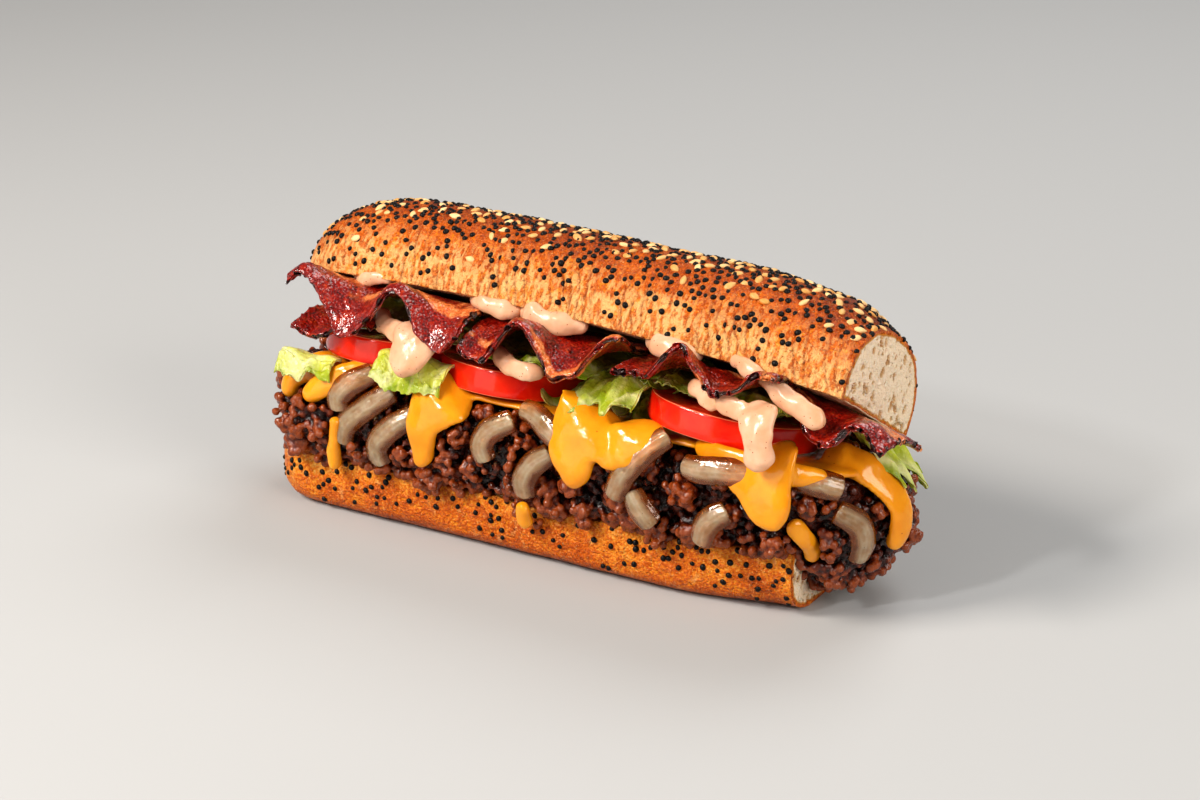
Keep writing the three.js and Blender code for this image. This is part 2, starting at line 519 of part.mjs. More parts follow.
const sandwich = new THREE.Group();
const settled = [];
for (const piece of pieces) {
  const own = piece.build(0);
  const others = near(own, settled);
  let solid = others.length ? largest(own.subtract(union(others.map((other) => other.grown)))) : own;
  if (piece.fused) solid = largest(union([solid, ...piece.fused(clearOf(settled))]));
  const grown = piece.build(GAP);
  settled.push({ grown, box: grown.boundingBox() });
  const mesh = new THREE.Mesh(geometryOf(solid), materials[piece.material]);
  mesh.name = piece.name;
  sandwich.add(mesh);
}

// The origin is the middle of the underside of the box that holds the whole sandwich.
const bounds = new THREE.Box3().setFromObject(sandwich);
const middle = bounds.getCenter(V(0, 0, 0));
sandwich.position.set(-middle.x, -middle.y, -bounds.min.z);

export default sandwich;
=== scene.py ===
"""The look of a loaded submarine sandwich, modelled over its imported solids.

Every form is worked out in millimetres in the sandwich's own frame (X along the loaf, the open mouth facing
-Y, Z up) and turned to metres when its mesh is made. Each class below is one kind of food: it holds its
sizes, builds its meshes and dresses them in its finish.
"""

import logging
import math
from dataclasses import dataclass, field, replace
from enum import Enum
from itertools import product
from typing import Any, Callable, ClassVar, Sequence

import bpy
import bmesh
import numpy as np
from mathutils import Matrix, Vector
from mathutils.bvhtree import BVHTree


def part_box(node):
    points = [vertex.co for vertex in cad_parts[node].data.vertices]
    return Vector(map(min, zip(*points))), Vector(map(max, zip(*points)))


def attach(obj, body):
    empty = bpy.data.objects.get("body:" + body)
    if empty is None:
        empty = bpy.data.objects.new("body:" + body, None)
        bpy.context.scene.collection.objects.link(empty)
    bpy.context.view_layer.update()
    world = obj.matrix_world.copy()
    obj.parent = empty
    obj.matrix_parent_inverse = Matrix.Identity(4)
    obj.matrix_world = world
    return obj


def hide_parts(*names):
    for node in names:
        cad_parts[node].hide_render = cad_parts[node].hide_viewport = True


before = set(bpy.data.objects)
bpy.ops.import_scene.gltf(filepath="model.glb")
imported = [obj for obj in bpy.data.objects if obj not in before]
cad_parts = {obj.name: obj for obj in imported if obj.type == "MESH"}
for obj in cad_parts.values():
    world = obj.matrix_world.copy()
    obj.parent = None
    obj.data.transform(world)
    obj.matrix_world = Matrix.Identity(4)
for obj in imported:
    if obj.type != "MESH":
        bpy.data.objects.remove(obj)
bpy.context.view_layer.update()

Array = np.ndarray
Tree = bpy.types.NodeTree
Triple = tuple[float, float, float]
Pair = tuple[float, float]
MM = 0.001
LOG = logging.getLogger("sandwich")
SKEW = 0.055  # drift of the heel and the beef towards +Y for each millimetre of X
TOMATO_MARK = (51.0, -2.0)  # where the middle of tomato_3 lies before the solids are centred
GOLDEN_ANGLE = 2.39996  # radians between neighbours on an evenly dotted ball
REFLECTION = 0.25  # specular level of every food, low so that the bright studio doesn't grey its colour


def find_shift() -> Array:
    """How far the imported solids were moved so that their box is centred.

    Returns:
        The move in millimetres.
    """
    low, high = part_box("tomato_3")
    middle = [(low[i] + high[i]) / 2 / MM for i in range(2)]
    return np.array([middle[0] - TOMATO_MARK[0], middle[1] - TOMATO_MARK[1], 0.0])


SHIFT = find_shift()


# Numbers and noise


def mix(a: Any, b: Any, share: Any) -> Any:
    """The value a share of the way from a to b."""
    return a + (b - a) * share


def smooth(start: float, end: float, x: Any) -> Any:
    """0 before start, 1 after end and an even S curve between them."""
    t = np.clip((x - start) / (end - start), 0.0, 1.0)
    return t * t * (3 - 2 * t)


def signed_power(value: Any, exponent: float) -> Any:
    """A power that keeps the sign of its base."""
    return np.sign(value) * np.abs(value) ** exponent


def lattice(cell: Array, seed: int) -> Array:
    """Values from 0 to 1 that look random, one for each whole-number cell.

    Args:
        cell: Cells, the last axis holding three whole numbers.
        seed: Which of the endless sets of values is given.

    Returns:
        One value for each cell.
    """
    code = cell[..., 0] * 374761393 + cell[..., 1] * 668265263 + cell[..., 2] * 1440662683 + seed * 974634777
    code = (code ^ (code >> 13)) & 0xFFFFFFFF
    code = (code * 1274126177) & 0xFFFFFFFF
    code = code ^ (code >> 16)
    return (code & 0xFFFF) / 65535.0


def value_noise(points: Array, size: float, seed: int) -> Array:
    """Smooth noise from -1 to 1.

    Args:
        points: Where it is read, in millimetres.
        size: The width of one of its lumps, in millimetres.
        seed: Which noise it is.

    Returns:
        One value for each point.
    """
    scaled = points / size
    base = np.floor(scaled).astype(np.int64)
    part = scaled - base
    part = part * part * (3 - 2 * part)
    total = np.zeros(points.shape[:-1])
    for corner in product((0, 1), repeat=3):
        weight = np.prod(np.where(np.array(corner, bool), part, 1 - part), axis=-1)
        total += weight * lattice(base + np.array(corner), seed)
    return 2 * total - 1


def rough_noise(points: Array, size: float, seed: int, octaves: int = 3) -> Array:
    """Noise with finer noise added on top.

    Args:
        points: Where it is read, in millimetres.
        size: The width of its largest lumps, in millimetres.
        seed: Which noise it is.
        octaves: How many times finer noise is added, each half as wide and half as high.

    Returns:
        One value for each point, about -1 to 1.
    """
    total = np.zeros(points.shape[:-1])
    for octave in range(octaves):
        total += value_noise(points, size / 2**octave, seed + octave) / 2**octave
    return total / (2 - 2 ** (1 - octaves))


def ridges(points: Array, size: float, seed: int) -> Array:
    """Thin winding lines: 1 along each line and 0 away from it."""
    return np.clip(1 - 3.2 * np.abs(value_noise(points, size, seed)), 0, 1)


# Forms


@dataclass
class Form:
    """A surface in millimetres, with values kept on its points.

    Attributes:
        points: One row of X, Y and Z for each point.
        quads: Four point numbers for each four-sided face.
        triangles: Three point numbers for each three-sided face.
        values: Named values, one for each point.
    """

    points: Array
    quads: Array = field(default_factory=lambda: np.zeros((0, 4), np.int64))
    triangles: Array = field(default_factory=lambda: np.zeros((0, 3), np.int64))
    values: dict[str, Array] = field(default_factory=dict)

    def all_triangles(self) -> Array:
        """Every face cut into triangles."""
        q = self.quads
        return np.concatenate([q[:, [0, 1, 2]], q[:, [0, 2, 3]], self.triangles]).astype(np.int64)

    def outward(self) -> "Form":
        """Turns a closed form's faces round if they point inwards."""
        a, b, c = (self.points[self.all_triangles()[:, i]] for i in range(3))
        if np.einsum("ij,ij->i", a, np.cross(b, c)).sum() < 0:
            self.quads = self.quads[:, ::-1]
            self.triangles = self.triangles[:, ::-1]
        return self

    def normals(self) -> Array:
        """The outward direction at each point."""
        corners = self.all_triangles()
        a, b, c = (self.points[corners[:, i]] for i in range(3))
        face = np.cross(b - a, c - a)
        total = np.zeros_like(self.points)
        for i in range(3):
            np.add.at(total, corners[:, i], face)
        return total / np.maximum(np.linalg.norm(total, axis=1, keepdims=True), 1e-9)

    def push(self, amount: Array) -> "Form":
        """Moves each point outwards by its amount in millimetres."""
        self.points = self.points + self.normals() * amount[:, None]
        return self

    def hollows(self, rounds: int) -> Array:
        """How far each point lies below the smoothed surface, in millimetres.

        Args:
            rounds: How many times the surface is smoothed.

        Returns:
            Positive in creases and negative on tops.
        """
        corners = self.all_triangles()
        ends = corners[:, [0, 1, 1, 2, 2, 0]].reshape(-1, 2)
        count = np.maximum(np.bincount(ends[:, 0], minlength=len(self.points)), 1)[:, None]
        soft = self.points
        for _ in range(rounds):
            axes = [np.bincount(ends[:, 0], soft[ends[:, 1], i], len(soft)) for i in range(3)]
            soft = np.stack(axes, axis=1) / count
        return np.einsum("ij,ij->i", soft - self.points, self.normals())

    def tree(self) -> BVHTree:
        """A tree that finds the nearest place on the surface."""
        return BVHTree.FromPolygons(self.points.tolist(), self.all_triangles().tolist())

    def to_object(self, name: str) -> bpy.types.Object:
        """Makes the form a Blender object in metres, at the origin.

        Args:
            name: The object's name.

        Returns:
            The new object, with its values as attributes.
        """
        mesh = bpy.data.meshes.new(name)
        corner_counts = [4] * len(self.quads) + [3] * len(self.triangles)
        corners = np.concatenate([self.quads.ravel(), self.triangles.ravel()]).astype(np.int32)
        mesh.vertices.add(len(self.points))
        mesh.vertices.foreach_set("co", ((self.points + SHIFT) * MM).astype(np.float32).ravel())
        mesh.loops.add(len(corners))
        mesh.loops.foreach_set("vertex_index", corners)
        mesh.polygons.add(len(corner_counts))
        starts = np.concatenate([[0], np.cumsum(corner_counts)[:-1]]).astype(np.int32)
        mesh.polygons.foreach_set("loop_start", starts)
        mesh.update(calc_edges=True)
        mesh.validate()
        mesh.shade_smooth()
        for key, value in self.values.items():
            attribute = mesh.attributes.new(key, "FLOAT", "POINT")
            attribute.data.foreach_set("value", np.asarray(value, np.float32))
        made = bpy.data.objects.new(name, mesh)
        bpy.context.scene.collection.objects.link(made)
        return made


def join(forms: Sequence[Form]) -> Form:
    """Several forms as one. A value that one of them lacks is 0 there."""
    offset = 0
    quads, triangles = [], []
    for form in forms:
        quads.append(form.quads + offset)
        triangles.append(form.triangles + offset)
        offset += len(form.points)
    values = {
        name: np.concatenate([form.values.get(name, np.zeros(len(form.points))) for form in forms])
        for name in sorted({name for form in forms for name in form.values})
    }
    points = np.concatenate([form.points for form in forms])
    return Form(points, np.concatenate(quads), np.concatenate(triangles), values)


def grid_quads(rows: int, columns: int, wrap: bool) -> Array:
    """Faces between the points of a grid stored row by row.

    Args:
        rows: How many rows of points there are.
        columns: How many points are in a row.
        wrap: Whether each row closes on itself.

    Returns:
        Four point numbers for each face.
    """
    i, j = np.meshgrid(np.arange(rows - 1), np.arange(columns if wrap else columns - 1), indexing="ij")
    a = i * columns + j
    b = i * columns + (j + 1) % columns
    return np.stack([a, b, b + columns, a + columns], axis=-1).reshape(-1, 4)


def loft(rings: Array) -> Form:
    """A skin over rings of points, closed by a fan at each end.

    Args:
        rings: Points by ring and by place round the ring.

    Returns:
        The closed form.
    """
    count, sides = rings.shape[:2]
    points = np.concatenate([rings.reshape(-1, 3), rings[[0, -1]].mean(axis=1)])
    hubs = [count * sides, count * sides + 1]
    place = np.arange(sides)
    after = (place + 1) % sides
    last = (count - 1) * sides
    fans = [
        np.stack([after, place, np.full(sides, hubs[0])], axis=1),
        np.stack([last + place, last + after, np.full(sides, hubs[1])], axis=1),
    ]
    return Form(points, grid_quads(count, sides, True), np.concatenate(fans)).outward()


def thin_sheet(
    middle: Callable[[Array, Array], Array],
    along: int,
    across: int,
    thickness: Callable[[Array, Array], Array],
) -> Form:
    """A closed sheet with a thickness that may change over it.

    Args:
        middle: The sheet's middle for two shares from 0 to 1.
        along: Steps of the first share.
        across: Steps of the second share.
        thickness: The whole thickness for the same two shares.

    Returns:
        The closed form, with the two shares kept as the values "along" and "across".
    """
    u, v = np.meshgrid(np.linspace(0, 1, along + 1), np.linspace(0, 1, across + 1), indexing="ij")
    centre = middle(u, v)
    lengthwise = np.gradient(centre, axis=0)
    crosswise = np.gradient(centre, axis=1)
    lift = np.cross(lengthwise, crosswise)
    lift /= np.maximum(np.linalg.norm(lift, axis=-1, keepdims=True), 1e-9)
    half = thickness(u, v)[..., None] / 2
    over, under = (centre + lift * half).reshape(-1, 3), (centre - lift * half).reshape(-1, 3)
    columns = across + 1
    top = grid_quads(along + 1, columns, False)
    below = top[:, ::-1] + len(over)
    rim = np.concatenate([
        np.arange(along) * columns,
        along * columns + np.arange(across),
        np.arange(along, 0, -1) * columns + across,
        np.arange(across, 0, -1),
    ])
    after = np.roll(rim, -1)
    side = np.stack([after, rim, rim + len(over), after + len(over)], axis=1)
    both = {"along": np.tile(u.ravel(), 2), "across": np.tile(v.ravel(), 2)}
    return Form(np.concatenate([over, under]), np.concatenate([top, below, side]), values=both).outward()


def apply_modifiers(made: bpy.types.Object) -> bpy.types.Object:
    """Bakes an object's modifiers into its mesh."""
    bpy.context.view_layer.update()
    depsgraph = bpy.context.evaluated_depsgraph_get()
    mesh = bpy.data.meshes.new_from_object(made.evaluated_get(depsgraph))
    made.modifiers.clear()
    made.data = mesh
    return made


def melt_together(form: Form, voxel: float, rounds: int, strength: float = 0.5) -> Form:
    """Fuses overlapping forms into one smooth skin.

    Args:
        form: The overlapping closed forms, joined.
        voxel: The size of the new skin's faces, in millimetres.
        rounds: How many times the skin is smoothed.
        strength: How strongly each round smooths it, from 0 to 1.

    Returns:
        The fused form, without the values of the old one.
    """
    made = Form(form.points, form.quads, form.triangles).to_object("melt")
    remesh = made.modifiers.new("fuse", "REMESH")
    remesh.mode = "VOXEL"
    remesh.voxel_size = voxel * MM
    even = made.modifiers.new("even", "SMOOTH")
    even.factor = strength
    even.iterations = rounds
    apply_modifiers(made)
    mesh = made.data
    points = np.empty(len(mesh.vertices) * 3, np.float32)
    mesh.vertices.foreach_get("co", points)
    corners = np.empty(len(mesh.loops), np.int32)
    mesh.loops.foreach_get("vertex_index", corners)
    bpy.data.objects.remove(made)
    return Form(points.reshape(-1, 3).astype(float) / MM - SHIFT, corners.reshape(-1, 4).astype(np.int64))


def through_points(path: Sequence[Sequence[float]], shares: Array) -> Array:
    """Places on the smooth curve that runs through a path's points.

    Args:
        path: The points, in millimetres.
        shares: Where on the curve, from 0 to 1.

    Returns:
        One point for each share.
    """
    points = np.array(path, float)
    points = np.concatenate([[2 * points[0] - points[1]], points, [2 * points[-1] - points[-2]]])
    spans = len(path) - 1
    place = np.clip(shares, 0, 1) * spans
    low = np.minimum(np.floor(place).astype(int), spans - 1)
    part = (place - low)[:, None]
    p0, p1, p2, p3 = (points[low + i] for i in range(4))
    d0, d1, d2 = (np.sqrt(np.linalg.norm(b - a, axis=1))[:, None] for a, b in ((p0, p1), (p1, p2), (p2, p3)))
    start = ((p1 - p0) / d0 - (p2 - p0) / (d0 + d1) + (p2 - p1) / d1) * d1
    end = ((p2 - p1) / d1 - (p3 - p1) / (d1 + d2) + (p3 - p2) / d2) * d1
    bend = (3 * (p2 - p1) - 2 * start - end) * part**2
    turn = (2 * (p1 - p2) + start + end) * part**3
    return p1 + start * part + bend + turn


@dataclass(frozen=True)
class Strand:
    """A flattened strip or run along a curve.

    Attributes:
        path: Points of its middle line, in millimetres.
        widths: Half its width at even steps along it.
        thickness: Half its thickness.
        out: The way its outer side faces.
        swell: How much thicker its last part is, as a share.
        round_end: How long its rounded ends are, as a share of its half width.
    """

    path: tuple[Triple, ...]
    widths: tuple[float, ...]
    thickness: float
    out: Triple = (0.0, -1.0, 0.3)
    swell: float = 0.0
    round_end: float = 1.0

    def form(self, sides: int, steps: int, curl: float = 0.0, squareness: float = 2.0) -> Form:
        """Builds the strand.

        Args:
            sides: Points round it.
            steps: Rings along it.
            curl: How far its long edges bend inwards, in millimetres.
            squareness: 2 for a round section and more for a flat one.

        Returns:
            A closed form with the value "across" (-1 to 1 from one long edge to the other).
        """
        t = (1 - np.cos(np.linspace(0, math.pi, steps + 1))) / 2
        t = mix(np.linspace(0, 1, steps + 1), t, 0.6)
        centre = through_points(self.path, t)
        tangent = np.gradient(centre, axis=0)
        tangent /= np.maximum(np.linalg.norm(tangent, axis=1, keepdims=True), 1e-9)
        outward = np.array(self.out) / np.linalg.norm(self.out)
        normal = outward - tangent * (tangent @ outward)[:, None]
        normal /= np.linalg.norm(normal, axis=1, keepdims=True)
        side = np.cross(tangent, normal)
        width = np.interp(t, np.linspace(0, 1, len(self.widths)), self.widths)
        length = np.concatenate([[0], np.cumsum(np.linalg.norm(np.diff(centre, axis=0), axis=1))])
        from_end = np.minimum(length, length[-1] - length)
        reach = np.minimum(width * self.round_end, length[-1] / 2.2)
        close = np.sqrt(np.clip(1 - (1 - np.minimum(from_end / reach, 1)) ** 2, 0.0004, 1))
        angle = 2 * math.pi * (np.arange(sides) + 0.5) / sides
        flat = signed_power(np.cos(angle), 2 / squareness)
        rise = signed_power(np.sin(angle), 2 / squareness)
        offset_side = (width * close)[:, None] * flat[None, :]
        depth = self.thickness * (1 + self.swell * smooth(0.45, 0.95, t)) * np.sqrt(close)
        offset_out = depth[:, None] * rise[None, :]
        offset_out = offset_out - curl * (flat**2)[None, :] * close[:, None]
        sideways = offset_side[..., None] * side[:, None, :]
        made = loft(centre[:, None, :] + sideways + offset_out[..., None] * normal[:, None, :])
        made.values["across"] = np.append(np.tile(flat, steps + 1), [0, 0])
        return made


# Finishes


def srgb(code: int) -> tuple[float, float, float, float]:
    """A colour from its sRGB hex code, as Blender's linear values."""
    parts = [((code >> step) & 255) / 255 for step in (16, 8, 0)]
    linear = [p / 12.92 if p <= 0.04045 else ((p + 0.055) / 1.055) ** 2.4 for p in parts]
    return (linear[0], linear[1], linear[2], 1.0)


def add_node(tree: Tree, kind: str, inputs: dict[Any, Any] | None = None, **settings: Any) -> Any:
    """Adds a node with its settings and links.

    Args:
        tree: The node tree.
        kind: The node's type.
        inputs: For each input, by name or number, its value or the output that feeds it.
        **settings: The node's own settings.

    Returns:
        The new node.
    """
    node = tree.nodes.new(kind)
    for name, value in settings.items():
        setattr(node, name, value)
    for key, value in (inputs or {}).items():
        if isinstance(value, bpy.types.NodeSocket):
            tree.links.new(value, node.inputs[key])
        else:
            node.inputs[key].default_value = value
    return node


@dataclass
class Look:
    """The nodes that make one finish.

    Attributes:
        tree: The material's nodes.
        shader: The one that the others feed.
    """

    tree: Tree
    shader: Any

    def add(self, kind: str, inputs: dict[Any, Any], **settings: Any) -> Any:
        """Adds a node and gives its first output."""
        return add_node(self.tree, kind, inputs, **settings).outputs[0]

    def noise(self, size: float, detail: float = 3.0, stretch: Triple = (1, 1, 1)) -> Any:
        """Noise on the object's own coordinates.

        Args:
            size: The width of a lump, in millimetres.
            detail: How much finer noise is added.
            stretch: How many times closer the lumps lie along each axis.

        Returns:
            The noise's output from 0 to 1.
        """
        place = add_node(self.tree, "ShaderNodeTexCoord")
        stretched = self.add("ShaderNodeMapping", {"Vector": place.outputs["Object"], "Scale": stretch})
        inputs = {"Vector": stretched, "Scale": 1 / (size * MM), "Detail": detail}
        return self.add("ShaderNodeTexNoise", inputs)

    def cells(self, size: float) -> Any:
        """The distance to the nearest of scattered centres, in cells of a size in millimetres."""
        place = add_node(self.tree, "ShaderNodeTexCoord")
        inputs = {"Vector": place.outputs["Object"], "Scale": 1 / (size * MM)}
        return add_node(self.tree, "ShaderNodeTexVoronoi", inputs).outputs["Distance"]

    def value(self, name: str) -> Any:
        """A value kept on the mesh."""
        return add_node(self.tree, "ShaderNodeAttribute", attribute_name=name).outputs["Fac"]

    def sum(self, a: Any, b: Any, gain: float, offset: float = 0.0) -> Any:
        """a plus gain times b plus offset, kept from 0 to 1."""
        scaled = self.add("ShaderNodeMath", {0: b, 1: gain, 2: offset}, operation="MULTIPLY_ADD")
        return self.add("ShaderNodeMath", {0: scaled, 1: a}, operation="ADD", use_clamp=True)

    def step(self, source: Any, start: float, end: float) -> Any:
        """0 where the source is at start and 1 where it is at end, with an even change between."""
        inputs = {"Value": source, "From Min": start, "From Max": end}
        return self.add("ShaderNodeMapRange", inputs, interpolation_type="SMOOTHSTEP")

    def ramp(self, source: Any, stops: Sequence[tuple[float, int]]) -> Any:
        """Colours for values from 0 to 1.

        Args:
            source: What is turned into colour.
            stops: Each a value and its sRGB hex colour.

        Returns:
            The colour output.
        """
        node = add_node(self.tree, "ShaderNodeValToRGB", {"Fac": source})
        elements = node.color_ramp.elements
        while len(elements) < len(stops):
            elements.new(0.5)
        for element, (place, code) in zip(elements, stops):
            element.position = place
            element.color = srgb(code)
        return node.outputs[0]

    def blend(self, share: Any, first: Any, second: Any) -> Any:
        """Mixes two colours."""
        inputs = {0: share, 6: first, 7: second}
        return add_node(self.tree, "ShaderNodeMix", inputs, data_type="RGBA").outputs[2]

    def bump(self, heights: Sequence[tuple[Any, float]]) -> Any:
        """Relief too fine for the mesh.

        Args:
            heights: Each a height output and how high it rises, in millimetres.

        Returns:
            The normal output.
        """
        normal = None
        for height, rise in heights:
            inputs = {"Height": height, "Distance": rise * MM}
            if normal is not None:
                inputs["Normal"] = normal
            normal = self.add("ShaderNodeBump", inputs)
        return normal

    def link(self, **sockets: Any) -> None:
        """Feeds the shader's named inputs, with spaces written as underscores."""
        for name, source in sockets.items():
            self.tree.links.new(source, self.shader.inputs[name.replace("_", " ")])

    def fix(self, **values: Any) -> None:
        """Sets the shader's named inputs to numbers or colours, with spaces written as underscores."""
        for name, value in values.items():
            self.shader.inputs[name.replace("_", " ")].default_value = value


@dataclass(frozen=True)
class Finish:
    """What a surface is made of. Each food has its own kind of finish.

    Attributes:
        name: The material's name.
        roughness: 0 for a mirror and 1 for chalk.
    """

    name: str = "food"
    roughness: float = 0.5

    def material(self) -> bpy.types.Material:
        """The Blender material, made once and then shared."""
        known = bpy.data.materials.get(self.name)
        if known:
            return known
        made = bpy.data.materials.new(self.name)
        made.use_nodes = True
        tree = made.node_tree
        tree.nodes.clear()
        shader = add_node(tree, "ShaderNodeBsdfPrincipled", {"Roughness": self.roughness})
        look = Look(tree, shader)
        look.fix(Specular_IOR_Level=REFLECTION)
        self.dress(look)
        add_node(tree, "ShaderNodeOutputMaterial", {"Surface": shader.outputs[0]})
        return made

    def dress(self, look: Look) -> None:
        """Sets the shader's colours, gloss and relief."""
        raise NotImplementedError


@dataclass(frozen=True)
class BakedCrust(Finish):
    """Wheat bread baked brown: a satin skin, darker where the oven was hottest, over a matt cream crumb."""

    name: str = "baked wheat crust"

    def dress(self, look: Look) -> None:
        """Browns the crust by its baking, wrinkles it where it stretched, and shows crumb at the cut, with
        painted shade in the crumb's holes.
        """
        mottle = look.noise(4.0, 5)
        speckle = look.noise(0.9, 3)
        flour = look.noise(0.55, 2)
        wrinkle = look.noise(1.4, 4, (1.0, 0.45, 0.45))
        baked = look.sum(look.value("bake"), mottle, 0.6, -0.3)
        baked = look.sum(baked, speckle, 0.9, -0.45)
        light = [(0.0, 0xF4B252), (0.16, 0xE98C1E), (0.36, 0xD06406)]
        dark = [(0.6, 0xA84702), (0.8, 0x782A01), (1.0, 0x461401)]
        skin = look.ramp(baked, light + dark)
        crack = look.step(wrinkle, 0.6, 0.42)
        streak = look.value("streak")
        pale = look.sum(streak, crack, 0.9, -0.72)
        pale = look.add("ShaderNodeMath", {0: pale, 1: streak}, operation="MULTIPLY")
        skin = look.blend(pale, skin, srgb(0xF7C27E))
        skin = look.blend(look.value("fold"), skin, srgb(0x9E440A))
        fleck = look.step(flour, 0.6, 0.72)
        fleck = look.add("ShaderNodeMath", {0: fleck, 1: 0.6}, operation="MULTIPLY")
        skin = look.blend(fleck, skin, srgb(0xF4BC74))
        # painted shade: the crumb is darkened in its holes
        crumb = look.ramp(look.value("pore"), [(0.0, 0xF8DFC0), (0.3, 0xDCB484), (1.0, 0xA8703A)])
        crumb = look.blend(look.step(speckle, 0.5, 0.75), crumb, srgb(0xFAEAD4))
        inner = look.sum(look.value("depth_in"), mottle, 0.9, -0.45)
        edge = look.step(inner, 0.45, 0.75)
        rind = look.blend(look.step(inner, 0.7, 1.0), srgb(0xCC8E40), crumb)
        look.link(Base_Color=look.blend(edge, skin, rind))
        rough = look.add("ShaderNodeMix", {0: edge, 2: 0.36, 3: 0.9}, data_type="FLOAT")
        folded = look.add("ShaderNodeMath", {0: wrinkle, 1: streak}, operation="MULTIPLY")
        relief = look.bump([(mottle, 0.6), (folded, 1.6), (speckle, 1.1), (flour, 0.5)])
        look.link(Roughness=rough, Normal=relief)
        look.fix(Subsurface_Weight=0.1, Subsurface_Radius=(1.0, 0.5, 0.25), Subsurface_Scale=0.0012)
        gloss = look.ramp(edge, [(0.0, 0x6C6C6C), (1.0, 0x000000)])
        look.link(Coat_Weight=gloss, Coat_Normal=relief)
        look.fix(Coat_Roughness=0.3)


@dataclass(frozen=True)
class SeedHull(Finish):
    """A dry, slightly shiny hull whose colour changes a little from seed to seed.

    Attributes:
        pale: The palest seed.
        deep: The darkest seed.
    """

    name: str = "sesame hull"
    roughness: float = 0.38
    pale: int = 0xF2CC94
    deep: int = 0xD2944C

    def dress(self, look: Look) -> None:
        """Mixes the two colours by the seed's own tone."""
        tone = look.sum(look.value("tone"), look.noise(0.8, 2), 0.5, -0.25)
        look.link(Base_Color=look.blend(tone, srgb(self.pale), srgb(self.deep)))
        look.link(Normal=look.bump([(look.noise(0.35, 2), 0.05)]))


@dataclass(frozen=True)
class BrownedBeef(Finish):
    """Beef fried to a dark brown crumble, so greasy that every grain carries a small sharp highlight."""

    name: str = "browned minced beef"

    def dress(self, look: Look) -> None:
        """Paints shade into the deep gaps and creases between the grains, and a warmer, lighter brown on the
        outer grains.
        """
        patch = look.noise(7.0, 3)
        grain = look.noise(1.1, 3)
        # painted shade: the value "outer" is low, and the colour dark, deep in the heap and in the creases
        # between grains
        tone = look.sum(look.value("outer"), patch, 0.5, -0.25)
        tone = look.sum(tone, grain, 0.6, -0.3)
        stops = [(0.0, 0x120301), (0.3, 0x300A02), (0.6, 0x561C06), (0.85, 0x702C0C), (1.0, 0x8C4218)]
        relief = look.bump([(grain, 0.45), (look.noise(0.5, 2), 0.1)])
        look.link(Base_Color=look.ramp(tone, stops), Normal=relief, Coat_Normal=relief)
        look.link(Roughness=look.ramp(grain, [(0.3, 0x606060), (0.75, 0xA0A0A0)]))
        look.fix(Coat_Weight=0.55, Coat_Roughness=0.09)


@dataclass(frozen=True)
class MeltedCheese(Finish):
    """Warm processed cheese sauce: an even golden yellow, glossy, with light glowing through thin edges."""

    name: str = "melted cheese sauce"
    roughness: float = 0.2

    def dress(self, look: Look) -> None:
        """Adds faint orange drifts and a few tiny brown specks."""
        drift = look.noise(9.0, 3)
        body = look.ramp(drift, [(0.3, 0xEEA020), (0.7, 0xE08C10)])
        speck = look.step(look.cells(4.6), 0.06, 0.03)
        look.link(Base_Color=look.blend(speck, body, srgb(0xB05A10)))
        look.link(Normal=look.bump([(drift, 0.6), (look.noise(2.2, 2), 0.1)]))
        look.fix(Subsurface_Weight=0.2, Subsurface_Radius=(1.0, 0.5, 0.08), Subsurface_Scale=0.002)
        look.fix(Coat_Weight=0.5, Coat_Roughness=0.06)


@dataclass(frozen=True)
class FriedOnion(Finish):
    """Onion fried soft: see-through pale flesh, faintly ribbed and oily, with brown edges and burnt specks.

    Attributes:
        ribs: How fast the ribs follow each other, in radians over half a strip's width.
    """

    name: str = "fried onion"
    roughness: float = 0.1
    ribs: float = 17.0

    def dress(self, look: Look) -> None:
        """Browns the strip's long edges and its ends."""
        side = look.value("across")
        across = look.add("ShaderNodeMath", {0: side}, operation="ABSOLUTE")
        patch = look.noise(4.0, 4)
        turns = look.add("ShaderNodeMath", {0: side, 1: self.ribs, 2: patch}, operation="MULTIPLY_ADD")
        rib = look.add("ShaderNodeMath", {0: turns}, operation="SINE")
        body = look.ramp(look.sum(patch, rib, 0.035), [(0.3, 0xD2A470), (0.7, 0xFCE6C2)])
        edge = look.step(look.sum(across, patch, 0.8, -0.4), 0.36, 0.84)
        body = look.blend(edge, body, srgb(0xA25812))
        burnt = look.step(look.sum(look.noise(0.9, 2), across, 0.14), 0.77, 0.82)
        body = look.blend(burnt, body, srgb(0x4E230A))
        relief = look.bump([(rib, 0.035), (patch, 0.55), (look.noise(1.3, 2), 0.1)])
        look.link(Base_Color=body, Normal=relief, Coat_Normal=relief)
        look.fix(Subsurface_Weight=0.3, Subsurface_Radius=(1.0, 0.65, 0.4), Subsurface_Scale=0.003)
        look.fix(Transmission_Weight=0.72, IOR=1.3, Coat_Weight=1.0, Coat_Roughness=0.06)


